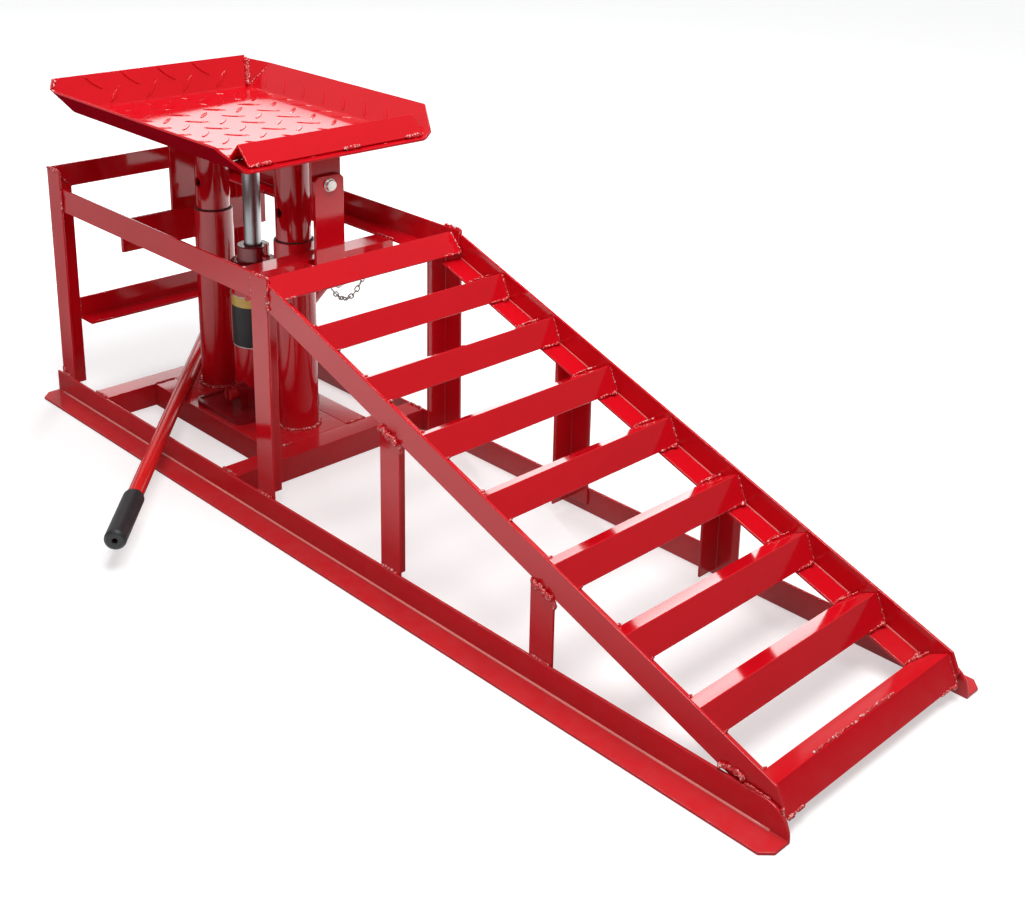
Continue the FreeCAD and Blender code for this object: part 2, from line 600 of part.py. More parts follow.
def rungs():
    """Treads of the ramp: the first sits level on the side rails, the rest square to the slope."""
    body = new_body("rung_1", ("rear_x + first_rung_run", "0", "side_rail_low + angle_wall + foot_drop"))
    block(body, "XZ_Plane", ridge_section(), "bar", "2 * (side_plane - angle_wall - rung_end_gap)",
          midplane=True)
    spread = "(toe_bar_run - second_rung_run)"
    runs = ["second_rung_run"]
    runs += ["second_rung_run + %s * %s" % (share, spread) for share in RUNG_SHARES]
    runs += ["toe_bar_run"]
    labels = ["rung_%d" % count for count in range(2, len(runs) + 1)] + ["toe_bar"]
    for label, run in zip(labels, runs):
        height = "slope_head - slope_rise * (%s) - rung_drop" % run
        body = new_body(label, ("rear_x + " + run, "0", height), (0, 1, 0), "slope")
        block(body, "XZ_Plane", ridge_section(), "bar", "2 * (stringer_web - rung_end_gap)",
              midplane=True)


# Upper braces, guide tubes and the lock keeper

def upper_braces():
    """Flat band behind the rear tube and the angle across in front of the front tube."""
    body = new_body("rear_band", ("rear_x + band_run", "0", "band_low"))
    block(body, "YZ_Plane", box_corners("-side_flange", "side_flange", "0", "band_high - band_low"),
          "band", "band_thickness", reverse=True)
    body = angle_bar("upper_cross_angle", "Y",
                     ("cross_front_x", "-side_flange", "cross_top"),
                     (-1, -1), "2 * side_flange")
    drill(body, "YZ_Plane", "side_flange - lock_pin_side", "-lock_pin_drop",
          "lock_pin_diameter / 2 + lock_pin_hole_slack", "pin_hole", "4 * angle_wall")


def guide_tubes():
    """Upright tubes welded on the base; the platform's tubes slide in them."""
    for place in ("rear", "front"):
        body = new_body("guide_tube_" + place, (place + "_tube_x", "0", "base_top"))
        disc(body, "XY_Plane", "0", "0", "outer_tube_diameter / 2", "tube", "outer_tube_top - base_top",
             bore="outer_tube_diameter / 2 - outer_tube_wall")


def lock_keeper():
    """Two clips on the cross angle that guide the lock link; the near one carries the lock pin."""
    body = new_body("lock_keeper", ("cross_front_x", "0", "keeper_low"))
    depth = "keeper_front_x - cross_front_x"
    inner = "keeper_x - cross_front_x"
    body.AllowCompound = True
    for name, sign in SIDES:
        sizes = ("keeper_half", "keeper_inner", "keeper_gate")
        wall, room, gate = ["%d * %s" % (sign, size) for size in sizes]
        block(body, "XY_Plane", [("0", wall), (depth, wall), (depth, gate), (inner, gate), (inner, room),
                                 ("0", room)], "clip_" + name, "keeper_rise")
    pin_up = "keeper_rise / 2"
    disc(body, "YZ_Plane", "-lock_pin_side", pin_up, "lock_pin_diameter / 2 + lock_pin_boss_wall", "boss",
         "lock_pin_boss + keeper_plate", offset=inner)
    drill(body, "YZ_Plane", "-lock_pin_side", pin_up, "lock_pin_diameter / 2 + lock_pin_slack", "pin_hole",
          "2 * (lock_pin_boss + overrun)", offset=depth)


def lock_pin():
    """Chained pin; pushed in, it passes through the link and into the cross angle."""
    body = new_body("lock_pin", ("keeper_x", "-lock_pin_side", "lock_pin_height"))
    disc(body, "YZ_Plane", "0", "0", "lock_pin_diameter / 2", "shank", "keeper_plate + lock_pin_grip")
    disc(body, "YZ_Plane", "0", "0", "lock_pin_head / 2", "head", "lock_pin_head_rise",
         offset="keeper_plate + lock_pin_grip")


# Platform

def platform_tray():
    """Tread-plate tray: side lips leaning outward, a higher rear lip and an open front."""
    body = new_body("platform_tray", ("rear_x", "0", "platform_height"))
    slant = "sheet * (sqrt(side_lip_lean ^ 2 + side_lip_rise ^ 2) - side_lip_lean) / side_lip_rise"
    cap_out = "sheet * side_lip_rise / sqrt(side_lip_lean ^ 2 + side_lip_rise ^ 2)"
    cap_down = "sheet * side_lip_lean / sqrt(side_lip_lean ^ 2 + side_lip_rise ^ 2)"
    wide = "platform_half_width + side_lip_lean"
    fold = "platform_half_width + " + slant
    section = [("-(%s)" % wide, "side_lip_rise"), ("-platform_half_width", "0"),
               ("platform_half_width", "0"), (wide, "side_lip_rise"),
               (wide + " + " + cap_out, "side_lip_rise - " + cap_down), (fold, "-sheet"),
               ("-(%s)" % fold, "-sheet"),
               ("-(%s + %s)" % (wide, cap_out), "side_lip_rise - " + cap_down)]
    tail = "platform_rear_run - rear_lip_lean - overrun"
    block(body, "YZ_Plane", section, "trough", "platform_front_run - (%s)" % tail, offset=tail)

    rear_slant = "sheet * (sqrt(rear_lip_lean ^ 2 + rear_lip_rise ^ 2) - rear_lip_lean) / rear_lip_rise"
    rear_out = "sheet * rear_lip_rise / sqrt(rear_lip_lean ^ 2 + rear_lip_rise ^ 2)"
    rear_down = "sheet * rear_lip_lean / sqrt(rear_lip_lean ^ 2 + rear_lip_rise ^ 2)"
    top_x = "platform_rear_run - rear_lip_lean"
    back_x = "platform_rear_run - " + rear_slant
    block(body, "XZ_Plane", [("platform_rear_run", "0"), (top_x, "rear_lip_rise"),
                             (top_x + " - " + rear_out, "rear_lip_rise - " + rear_down),
                             (back_x, "-sheet"), ("platform_rear_run", "-sheet")],
          "rear_lip", "2 * (%s + overrun)" % wide, midplane=True)

    lean = "rear_lip_lean / rear_lip_rise"
    far_back = top_x + " - overrun - overrun"
    cut(body, "XZ_Plane", [(back_x + " + (%s) * overrun" % lean, "-sheet - overrun"),
                           (back_x + " - (%s) * (rear_lip_rise + sheet)" % lean, "rear_lip_rise"),
                           (back_x + " - (%s) * (rear_lip_rise + sheet + overrun)" % lean,
                            "rear_lip_rise + overrun"),
                           (far_back, "rear_lip_rise + overrun"), (far_back, "-sheet - overrun")],
        "trim_behind", "4 * (%s + overrun)" % wide)

    side = "side_lip_lean / side_lip_rise"
    far_out = "%s + (%s) * (rear_lip_rise + overrun) + 3 * overrun" % (wide, side)
    for name, sign in SIDES:
        corners = [("%s - (%s) * overrun" % (fold, side), "-sheet - overrun"),
                   ("%s + (%s) * (rear_lip_rise + sheet + overrun)" % (fold, side),
                    "rear_lip_rise + overrun"),
                   (far_out, "rear_lip_rise + overrun"), (far_out, "-sheet - overrun")]
        signed = [("%d * (%s)" % (sign, across), up) for across, up in corners]
        cut(body, "YZ_Plane", signed, "trim_" + name, "platform_front_run", midplane=False,
            reverse=True)
    for name, sign in SIDES:
        high = "side_lip_rise - " + cap_down
        corners = [("rear_lip_half_top", "rear_lip_rise"), (wide + " + " + cap_out, high),
                   (wide + " + overrun", high), (wide + " + overrun", "rear_lip_rise + overrun"),
                   ("rear_lip_half_top", "rear_lip_rise + overrun")]
        signed = [("%d * (%s)" % (sign, across), up) for across, up in corners]
        cut(body, "YZ_Plane", signed, "rear_corner_" + name, "platform_rear_run", midplane=False,
            reverse=True)
    for name, sign in SIDES:
        open_corner = [("platform_rear_run", "side_lip_rise + overrun"),
                       ("platform_rear_run", "sheet"),
                       ("platform_rear_run + lip_rear_lean", "side_lip_rise + overrun")]
        cut(body, "XZ_Plane", open_corner, "lip_rear_" + name, wide + " + overrun", midplane=False,
            reverse=sign > 0)
    for name, sign in SIDES:
        start = "platform_front_run - lip_taper_" + name
        cut(body, "XZ_Plane", [(start, "side_lip_rise"), ("platform_front_run", "lip_front_rise"),
                               ("platform_front_run + overrun", "lip_front_rise"),
                               ("platform_front_run + overrun", "side_lip_rise + overrun"),
                               (start, "side_lip_rise + overrun")],
            "front_taper_" + name, wide + " + overrun", midplane=False, reverse=sign > 0)


def front_ridge():
    """Angle iron ridge that stops the wheel at the platform's front, its far end cut to the lip."""
    body = new_body("front_ridge", ("rear_x + ridge_run", "-ridge_near_end", "platform_height + foot_drop"))
    block(body, "XZ_Plane", ridge_section(), "bar", "ridge_near_end + ridge_far_end", reverse=True)
    edge = "ridge_near_end + platform_half_width - fit_gap"
    lean = "side_lip_lean / side_lip_rise"
    cut(body, "YZ_Plane", [(edge, "-foot_drop"), (edge + " + (%s) * foot_drop" % lean, "0"),
                           (edge + " + (%s) * foot_drop + overrun" % lean, "0"),
                           (edge + " + (%s) * foot_drop + overrun" % lean, "-foot_drop - overrun"),
                           (edge, "-foot_drop - overrun")], "lip_mitre", "4 * angle_leg")


def platform_tubes():
    """Tubes under the platform, each with a cross hole, that slide in the guide tubes."""
    for place in ("rear", "front"):
        body = new_body("platform_tube_" + place, (place + "_tube_x", "0", "underside"))
        disc(body, "XY_Plane", "0", "0", "inner_tube_diameter / 2", "tube", "inner_tube_length",
             bore="inner_tube_diameter / 2 - inner_tube_wall", reverse=True)
        drill(body, "XZ_Plane", "0", "-tube_hole_drop", "tube_hole_diameter / 2", "cross_hole",
              "inner_tube_diameter + overrun")


def straps():
    """Rear strap, upper lock strap and the lock link bolted to it."""
    body = new_body("rear_strap", ("rear_x + rear_strap_run", "0", "rear_strap_low"))
    block(body, "YZ_Plane", box_corners("-strap_half", "strap_half", "0", "underside - rear_strap_low"),
          "strap", "band_thickness", reverse=True)

    body = new_body("lock_strap", ("lock_strap_x", "0", "lock_strap_low"))
    block(body, "YZ_Plane", box_corners("-strap_half", "strap_half", "0", "underside - lock_strap_low"),
          "strap", "band_thickness", reverse=True)
    drill(body, "YZ_Plane", "0", "lock_bolt_height - lock_strap_low", "lock_bolt_diameter / 2",
          "bolt_hole", "2 * (band_thickness + overrun)")

    body = new_body("lock_link", ("lock_link_x", "0", "lock_link_low"))
    height = "lock_link_high - lock_link_low"
    corner = "lock_link_corner"
    block(body, "YZ_Plane", [("-strap_half", "0"), ("strap_half", "0"),
                             ("strap_half", height + " - " + corner),
                             ("strap_half - " + corner, height), ("-strap_half + " + corner, height),
                             ("-strap_half", height + " - " + corner)], "link", "band_thickness")
    drill(body, "YZ_Plane", "0", "lock_bolt_height - lock_link_low", "lock_bolt_diameter / 2",
          "bolt_hole", "2 * (band_thickness + overrun)")
    drill(body, "YZ_Plane", "-lock_pin_side", "lock_pin_height - lock_link_low",
          "lock_pin_diameter / 2 + lock_pin_hole_slack", "pin_hole", "2 * (band_thickness + overrun)")


def lock_bolt():
    """Round-headed bolt with washer and thin nut that joins strap and link."""
    body = new_body("lock_bolt", ("lock_strap_x", "0", "lock_bolt_height"))
    grip = "lock_link_gap + band_thickness"
    disc(body, "YZ_Plane", "0", "0", "lock_bolt_diameter / 2", "shank",
         "band_thickness + lock_nut_height + %s + lock_washer" % grip,
         offset="-band_thickness - lock_nut_height")
    disc(body, "YZ_Plane", "0", "0", "lock_washer_diameter / 2", "washer", "lock_washer", offset=grip)
    disc(body, "YZ_Plane", "0", "0", "lock_bolt_head / 2", "head", "lock_bolt_head_rise",
         offset=grip + " + lock_washer")
    half = "lock_nut_width / 2"
    point = "lock_nut_width / sqrt(3)"
    side = "lock_nut_width / (2 * sqrt(3))"
    block(body, "YZ_Plane", [(half, side), ("0", point), ("-" + half, side), ("-" + half, "-" + side),
                             ("0", "-" + point), (half, "-" + side)], "nut", "lock_nut_height",
          offset="-band_thickness - lock_nut_height")


# Bottle jack

def jack_casting():
    """Foot with a raised rim, hub round the cylinder, pump boss, fulcrum lugs and valve boss."""
    body = new_body("jack_base", ("jack_x", "0", "base_top"))
    half_x, half_y = "jack_base_length / 2", "jack_base_width / 2"
    block(body, "XY_Plane", box_corners("-" + half_x, half_x, "-" + half_y, half_y), "foot",
          "jack_base_thickness")
    upright = edges_where(body, lambda spot: near_to(spot.z, "jack_base_thickness / 2"))
    dress(body, upright, "jack_base_corner", "foot_corners")
    inner_x, inner_y = half_x + " - jack_base_rim", half_y + " - jack_base_rim"
    cut(body, "XY_Plane", box_corners("-(%s)" % inner_x, inner_x, "-(%s)" % inner_y, inner_y), "recess",
        "jack_base_recess", offset="jack_base_thickness", midplane=False)
    floor = "jack_base_thickness - jack_base_recess"
    disc(body, "XY_Plane", "0", "0", "jack_hub_diameter / 2", "hub",
         "jack_hub_height + jack_base_recess", offset=floor)
    disc(body, "XY_Plane", "0", "pump_out", "pump_diameter / 2 + lever_cheek", "pump_boss",
         "jack_hub_height + jack_base_recess", offset=floor)
    block(body, "XY_Plane", box_corners("-pump_diameter / 2", "pump_diameter / 2", "0", "pump_out"),
          "pump_web", "jack_hub_height + jack_base_recess", offset=floor)
    block(body, "XY_Plane", box_corners("valve_shift - valve_boss_diameter / 2",
                                        "valve_shift + valve_boss_diameter / 2", "-valve_side", "0"),
          "valve_block", "valve_height - base_top - (%s)" % floor, offset=floor)
    disc(body, "XZ_Plane", "valve_shift", "valve_height - base_top", "valve_boss_diameter / 2",
         "valve_boss", "valve_side")
    lug_low, lug_high = "pump_out", "fulcrum_y + fulcrum_width / 2"
    block(body, "XY_Plane", box_corners("-fulcrum_x", "fulcrum_x", lug_low, lug_high), "fulcrum_lug",
          "jack_hub_height + jack_base_recess", offset=floor)
    drill(body, "XY_Plane", "0", "0", "reservoir_diameter / 2", "cylinder_seat",
          "jack_hub_height + overrun", offset="jack_base_thickness", midplane=False, reverse=True)
    drill(body, "XY_Plane", "0", "pump_out", "pump_diameter / 2", "pump_seat",
          "jack_hub_height + overrun", offset="jack_base_thickness", midplane=False, reverse=True)
    drill(body, "YZ_Plane", "fulcrum_y", "lug_pin_height - base_top", "lever_pin_diameter / 2",
          "lug_hole", "4 * fulcrum_x")
    drill(body, "XZ_Plane", "valve_shift", "valve_height - base_top",
          "valve_stem_diameter / 2 + valve_slack", "valve_bore", "valve_stem_depth + fit_gap",
          offset="valve_side", midplane=False)


def jack_cylinders():
    """Outer reservoir, pressure cylinder inside it and the head nut that closes both."""
    body = new_body("reservoir", ("jack_x", "0", "casting_top"))
    disc(body, "XY_Plane", "0", "0", "reservoir_diameter / 2", "shell", "reservoir_top - casting_top",
         bore="reservoir_diameter / 2 - reservoir_wall")

    body = new_body("pressure_cylinder", ("jack_x", "0", "0"))
    out, bore = "cylinder_diameter / 2", "piston_diameter / 2"
    turned(body, [("0", "cylinder_low"), (out, "cylinder_low"), (out, "reservoir_top"),
                  (bore, "reservoir_top"), (bore, "bore_low"), ("0", "bore_low")], "cylinder")

    body = new_body("head_nut", ("jack_x", "0", "0"))
    hole = "ram_diameter / 2 + piston_slack"
    collar, neck = "reservoir_diameter / 2", "head_neck_diameter / 2"
    turned(body, [(hole, "reservoir_top - head_spigot"), (bore, "reservoir_top - head_spigot"),
                  (bore, "reservoir_top"), (collar, "reservoir_top"),
                  (collar, "collar_top - head_step"), (collar + " - head_step", "collar_top"),
                  (neck, "collar_top"), (neck, "head_top"), (hole, "head_top")], "nut")

    body = new_body("filler_plug", ("filler_x", "filler_y", "collar_top"))
    turned(body, [("%s * filler_diameter / 2" % wide, "%s * filler_height" % rise)
                  for wide, rise in PLUG_SHARES], "plug")


def ram():
    """Ram and its piston; its top bears under the platform."""
    body = new_body("ram", ("jack_x", "0", "ram_low"))
    out, bore = "ram_diameter / 2", "piston_diameter / 2 - piston_slack"
    turned(body, [("0", "0"), (bore, "0"), (bore, "piston_height"),
                  (out, "piston_height"), (out, "ram_length"), ("0", "ram_length")], "ram")


def pump():
    """Pump barrel, plunger with its pin, fulcrum plates and the two fulcrum pins."""
    body = new_body("pump_barrel", ("jack_x", "pump_out", "0"))
    out = "pump_diameter / 2"
    bore = "plunger_diameter / 2 + plunger_slack"
    deep = "pump_top - plunger_depth - lever_arm"
    turned(body, [("0", "casting_top"), (out, "casting_top"), (out, "pump_top"), (bore, "pump_top"),
                  (bore, deep), ("0", deep)], "barrel")

    body = new_body("pump_plunger", ("jack_x", "pump_out", "pin_z"))
    disc(body, "XY_Plane", "0", "0", "plunger_diameter / 2", "rod", "plunger_eye_rise + plunger_depth",
         reverse=True)
    disc(body, "YZ_Plane", "0", "0", "plunger_diameter / 2", "eye", "plunger_diameter", midplane=True)
    disc(body, "YZ_Plane", "0", "0", "lever_pin_diameter / 2", "pin", "2 * (cheek_x + lever_cheek)",
         midplane=True)

    low = "lug_pin_height - casting_top"
    tall = "pin_z - casting_top"
    half = "fulcrum_width / 2"
    top = "%s + %s" % (tall, half)
    body = new_body("fulcrum_plates", ("jack_x", "fulcrum_y", "casting_top"))
    body.AllowCompound = True
    for name, sign in FACES:
        middle = "%d * (fulcrum_x + fulcrum_plate / 2)" % sign
        block(body, "YZ_Plane", [("-" + half, "0"), (half, "0"), (half, tall + " + fulcrum_corner"),
                                 ("fulcrum_corner", top), ("-fulcrum_corner", top),
                                 ("-" + half, tall + " + fulcrum_corner")],
              "plate_" + name, "fulcrum_plate", offset=middle, midplane=True)
    for name, height in (("pin_holes", tall), ("lug_holes", low)):
        drill(body, "YZ_Plane", "0", height, "lever_pin_diameter / 2", name,
              "4 * (fulcrum_x + fulcrum_plate)")

    body = new_body("fulcrum_pins", ("jack_x", "fulcrum_y", "0"))
    body.AllowCompound = True
    for pin, height in (("lever", "pin_z"), ("lug", "lug_pin_height")):
        disc(body, "YZ_Plane", "0", height, "lever_pin_diameter / 2", pin + "_pin",
             "2 * (fulcrum_x + fulcrum_plate + head_step)", midplane=True)


def pump_lever():
    """Forked lever on the fulcrum pin; its own Y axis is the handle socket's axis."""
    body = new_body("pump_lever", ("jack_x", "fulcrum_y", "pin_z"), (1, 0, 0), "socket_tilt")
    margin = "(lever_pin_diameter / 2 + lever_cheek_margin)"
    reach = "socket_start + lever_cheek"
    half = "socket_diameter / 2"
    out, rise = "cos(socket_tilt)", "sin(socket_tilt)"
    cheek = [("-(lever_arm + %s) * %s + %s * %s" % (margin, out, margin, rise),
              "(lever_arm + %s) * %s + %s * %s" % (margin, rise, margin, out)),
             ("-(lever_arm + %s) * %s - %s * %s" % (margin, out, margin, rise),
              "(lever_arm + %s) * %s - %s * %s" % (margin, rise, margin, out)),
             ("-%s * %s" % (margin, rise), "-%s * %s" % (margin, out)),
             (reach, "-" + half), (reach, half)]
    for name, sign in FACES:
        block(body, "YZ_Plane", cheek, "cheek_" + name, "lever_cheek",
              offset="%d * (cheek_x + lever_cheek / 2)" % sign, midplane=True)
    disc(body, "XZ_Plane", "0", "0", half, "socket", "socket_length", offset="-socket_start",
         reverse=True)
    drill(body, "XZ_Plane", "0", "0", half + " - socket_wall", "socket_bore",
          "socket_length - lever_cheek", offset="-socket_start - socket_length", midplane=False,
          reverse=True)
    drill(body, "YZ_Plane", "0", "0", "lever_pin_diameter / 2 + lever_pin_slack", "fulcrum_hole",
          "2 * (cheek_x + lever_cheek)")
    room = "(lever_pin_diameter / 2 + lever_slot_slack)"
    inner = "(lever_arm - %s)" % room
    outer = "(lever_arm + lever_slot_play + %s)" % room
    slot = []
    for arm, side in ((inner, 1), (inner, -1), (outer, -1), (outer, 1)):
        slot.append(("-%s * %s + %d * %s * %s" % (arm, out, side, room, rise),
                     "%s * %s + %d * %s * %s" % (arm, rise, side, room, out)))
    cut(body, "YZ_Plane", slot, "slot", "2 * (cheek_x + lever_cheek)")


def release_valve():
    """Screw valve low on the near side of the casting, its knob slotted for the handle's end."""
    body = new_body("release_valve", ("valve_x", "-valve_side", "valve_height"))
    disc(body, "XZ_Plane", "0", "0", "valve_stem_diameter / 2", "stem", "valve_stem_depth",
         offset="fit_gap", reverse=True)
    disc(body, "XZ_Plane", "0", "0", "valve_knob_diameter / 2", "knob", "valve_knob_length",
         offset="fit_gap")
    cut(body, "XZ_Plane", box_corners("-valve_slot / 2", "valve_slot / 2", "-valve_knob_diameter",
                                      "valve_knob_diameter"), "slot", "valve_knob_length / 2",
        offset="fit_gap + valve_knob_length", midplane=False)


def loose_handle():
    """Pumping handle as photographed: laid across the base frame, its rubber grip outside."""
    place = ("rear_x + handle_end_run", "-handle_end_side", "handle_z")
    body = new_body("handle_tube", place, (0, 0, 1), "handle_heading")
    disc(body, "YZ_Plane", "0", "0", "handle_diameter / 2", "tube", "handle_length - grip_end",
         offset="grip_end", bore="handle_diameter / 2 - handle_wall")

    body = new_body("handle_grip", place, (0, 0, 1), "handle_heading")
    wide, hole = "grip_diameter / 2", "grip_end_hole / 2"
    turned(body, [("0", hole), ("0", wide + " - grip_end_round"), ("grip_end_round", wide),
                  ("grip_length", wide), ("grip_length", "handle_diameter / 2"),
                  ("grip_end", "handle_diameter / 2"), ("grip_end", hole)], "sleeve", "H_Axis")


# Lock pin's chain

def link_shape(length, width, wire):
    """Long chain link with cut corners, centred on the origin, its length along X, its plane XY."""
    flat = None
    for inset in (0, wire):
        run, side = length / 2 - inset, width / 2 - inset
        corner = side * LINK_CORNER_SHARE
        spots = [Vector(run, side - corner), Vector(run - corner, side), Vector(corner - run, side),
                 Vector(-run, side - corner), Vector(-run, corner - side), Vector(corner - run, -side),
                 Vector(run - corner, -side), Vector(run, corner - side), Vector(run, side - corner)]
        face = Part.Face(Part.makePolygon(spots))
        flat = flat.cut(face) if flat else face
    flat.translate(Vector(0, 0, -wire / 2))
    return flat.extrude(Vector(0, 0, wire))


def chain():
    """Chain hanging in a curve from beside the pin's head; its last link is tacked to the cross angle."""
    length, width = number("chain_link_length"), number("chain_link_width")
    wire = number("chain_wire")
    start = Vector(number("keeper_front_x + lock_pin_grip + lock_pin_head_rise / 2"),
                   number("-lock_pin_side - lock_pin_head / 2 - chain_link_width / 2 - fit_gap"),
                   number("lock_pin_height - lock_pin_head / 2"))
    end = Vector(number("cross_front_x + chain_link_length / 2 - chain_wire / 2"),
                 number("chain_end_side"), number("cross_top - chain_end_drop"))
    sag = Vector(0, 0, -number("chain_sag"))

    def spot(share):
        return start + (end - start) * share + sag * (4 * share * (1 - share))

    steps = [spot(index / CURVE_STEPS) for index in range(CURVE_STEPS + 1)]
    travelled = [0]
    for before, after in zip(steps, steps[1:]):
        travelled.append(travelled[-1] + (after - before).Length)
    pitch = length - 2 * wire - number("fit_gap") / 2
    count = int(travelled[-1] / pitch) + 1
    spare = travelled[-1] - (count - 1) * pitch
    links = []
    for index in range(count):
        reach = spare + index * pitch
        near = min(range(len(steps)), key=lambda item: abs(travelled[item] - reach))
        ahead, behind = min(near + CHORD_STEPS, CURVE_STEPS), max(near - CHORD_STEPS, 0)
        along = steps[ahead] - steps[behind]
        turn = FreeCAD.Rotation(along, Vector(0, 0, 1).cross(along), Vector(0, 0, 1), "XZY")
        roll = FreeCAD.Rotation(Vector(1, 0, 0), 90 * ((count - 1 - index) % 2))
        link = link_shape(length, width, wire)
        link.Placement = FreeCAD.Placement(steps[near], turn.multiply(roll))
        links.append(link)
    made = doc.addObject("Part::Feature", "lock_chain")
    made.Label = "lock_chain"
    made.Shape = Part.makeCompound(links)
    NODES.append(made)


def build_all():
    """Make every sub-part."""
    base_rails()
    posts()
    side_rails()
    rear_rails()
    jack_base_frame()
    stringers()
    rungs()
    upper_braces()
    guide_tubes()
    lock_keeper()
    lock_pin()
    platform_tray()
    front_ridge()
    platform_tubes()
    straps()
    lock_bolt()
    jack_casting()
    jack_cylinders()
    ram()
    pump()
    pump_lever()
    release_valve()
    loose_handle()
    chain()


build_all()
doc.recompute()
for item in doc.Objects:
    check_state(item)
os.makedirs("parts", exist_ok=True)
for node in NODES:
    if node.Shape.isNull() or not node.Shape.isValid():
        raise RuntimeError("%s has no sound shape" % node.Label)
for node in NODES:
    node.Shape.exportStep("parts/%s.step" % node.Label)
print("%d sub-parts" % len(NODES))
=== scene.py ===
# %% [markdown]
# # Car ramp jack
# The real object is a ramp for one wheel of a car. A frame of 30 mm angle iron carries sloping treads,
# and a bottle jack behind them lifts a tray of tread plate. All of it is welded and painted glossy red.
# The CAD frame gives every piece its place. This script adds what CAD leaves out: rounded edges,
# paint, weld beads, raised tread bars, bare label bands, and the light of a studio.

# %% Load the frame
import json
import math

import bmesh
import bpy
from mathutils import Matrix, Vector, noise


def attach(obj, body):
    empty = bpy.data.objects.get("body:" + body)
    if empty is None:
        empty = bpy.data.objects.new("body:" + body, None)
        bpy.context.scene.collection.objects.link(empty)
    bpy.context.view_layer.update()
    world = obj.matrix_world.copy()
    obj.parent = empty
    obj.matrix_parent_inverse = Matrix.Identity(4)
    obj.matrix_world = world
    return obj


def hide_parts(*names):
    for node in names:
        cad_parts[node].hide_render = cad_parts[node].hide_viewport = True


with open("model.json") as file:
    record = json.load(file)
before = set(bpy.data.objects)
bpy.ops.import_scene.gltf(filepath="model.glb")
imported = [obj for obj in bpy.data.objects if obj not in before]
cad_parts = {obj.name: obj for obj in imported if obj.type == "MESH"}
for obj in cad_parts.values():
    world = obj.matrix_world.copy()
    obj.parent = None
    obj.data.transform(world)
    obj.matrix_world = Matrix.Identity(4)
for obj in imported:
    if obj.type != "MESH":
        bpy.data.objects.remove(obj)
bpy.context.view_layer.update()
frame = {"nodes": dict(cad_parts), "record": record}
nodes = frame["nodes"]

# %% [markdown]
# ## Camera
# The viewpoint is the photographer's: in front of the toe, on the near side and well above the ramp.
# A shifted lens keeps uprights as they stand in the picture, which a turned camera alone would not do.

# %% Camera at the photograph's place
IMAGE_WIDTH, IMAGE_HEIGHT = 1025, 900
EYE = Vector((1.31078, -0.95737, 0.80376))
HEADING, DIP, ROLL = math.radians(46.86), math.radians(17.83), math.radians(2.09)
FOCAL_PIXELS = 1451.13
AXIS_ACROSS, AXIS_DOWN = 591.01, 244.49

ahead = Vector((-math.cos(HEADING) * math.cos(DIP), math.sin(HEADING) * math.cos(DIP), -math.sin(DIP)))
level = Vector((math.sin(HEADING), math.cos(HEADING), 0))
above = level.cross(ahead)
right = level * math.cos(ROLL) + above * math.sin(ROLL)
top = above * math.cos(ROLL) - level * math.sin(ROLL)
camera_data = bpy.data.cameras.new("photo_camera")
camera_data.sensor_width = 36
camera_data.lens = FOCAL_PIXELS / IMAGE_WIDTH * camera_data.sensor_width
camera_data.shift_x = (IMAGE_WIDTH / 2 - AXIS_ACROSS) / IMAGE_WIDTH
camera_data.shift_y = (AXIS_DOWN - IMAGE_HEIGHT / 2) / IMAGE_WIDTH
camera_data.clip_start, camera_data.clip_end = 0.05, 60
camera = bpy.data.objects.new("photo_camera", camera_data)
bpy.context.scene.collection.objects.link(camera)
turn = Matrix((right, top, -ahead)).transposed()
camera.matrix_world = Matrix.Translation(EYE) @ turn.to_4x4()
bpy.context.scene.camera = camera
bpy.context.scene.view_settings.view_transform = "Standard"
print("lens", round(camera_data.lens, 2), "mm")

# %% [markdown]
# ## Studio
# The picture has a white floor that fades into a white backdrop. The floor is a matt sheet, so it still
# takes the soft shadow. A warm key light hangs high over the toe. A low softbox far behind the tray gives
# the white patch on its floor, and a narrow strip high behind the tail draws thin bright lines along
# edges. A dim world fills the rest. The camera sees that world as pure white, and gloss sees white only
# low behind the tail, where a studio has its lit backdrop.


# %% Helpers for nodes
def feed(tree, socket, value):
    """Gives an input a plain value, or links it when the value is a socket."""
    if isinstance(value, bpy.types.NodeSocket):
        tree.links.new(value, socket)
    else:
        socket.default_value = value


def add_node(tree, kind, place=(0, 0), **values):
    """Adds a shader node and gives its properties and inputs their values by name."""
    made = tree.nodes.new(kind)
    made.location = place
    for name, value in values.items():
        if hasattr(made, name):
            setattr(made, name, value)
        else:
            feed(tree, made.inputs[name.replace("_", " ")], value)
    return made


def add_math(tree, operation, first, second=0.0, place=(0, 0)):
    """Math node on two numbers or sockets; returns its result socket."""
    made = add_node(tree, "ShaderNodeMath", place, operation=operation)
    feed(tree, made.inputs[0], first)
    feed(tree, made.inputs[1], second)
    return made.outputs[0]


def add_range(tree, value, start, full, low=0.0, high=1.0, place=(0, 0), curve="LINEAR"):
    """Carries a socket's value from one range to another; returns the result socket."""
    made = add_node(tree, "ShaderNodeMapRange", place, interpolation_type=curve, Value=value,
                    From_Min=start, From_Max=full, To_Min=low, To_Max=high)
    return made.outputs["Result"]


def add_mix(tree, share, first, second, place=(0, 0)):
    """Mix of two colours, each a colour or a socket; returns the result socket."""
    made = add_node(tree, "ShaderNodeMix", place, data_type="RGBA")
    for index, value in ((0, share), (6, first), (7, second)):
        feed(tree, made.inputs[index], value)
    return made.outputs[2]


def add_noise(tree, scale, place, **values):
    """Noise in the object's own space; returns the result socket."""
    spot = add_node(tree, "ShaderNodeTexCoord", (place[0] - 200, place[1])).outputs["Object"]
    return add_node(tree, "ShaderNodeTexNoise", place, Vector=spot, Scale=scale, **values).outputs["Fac"]


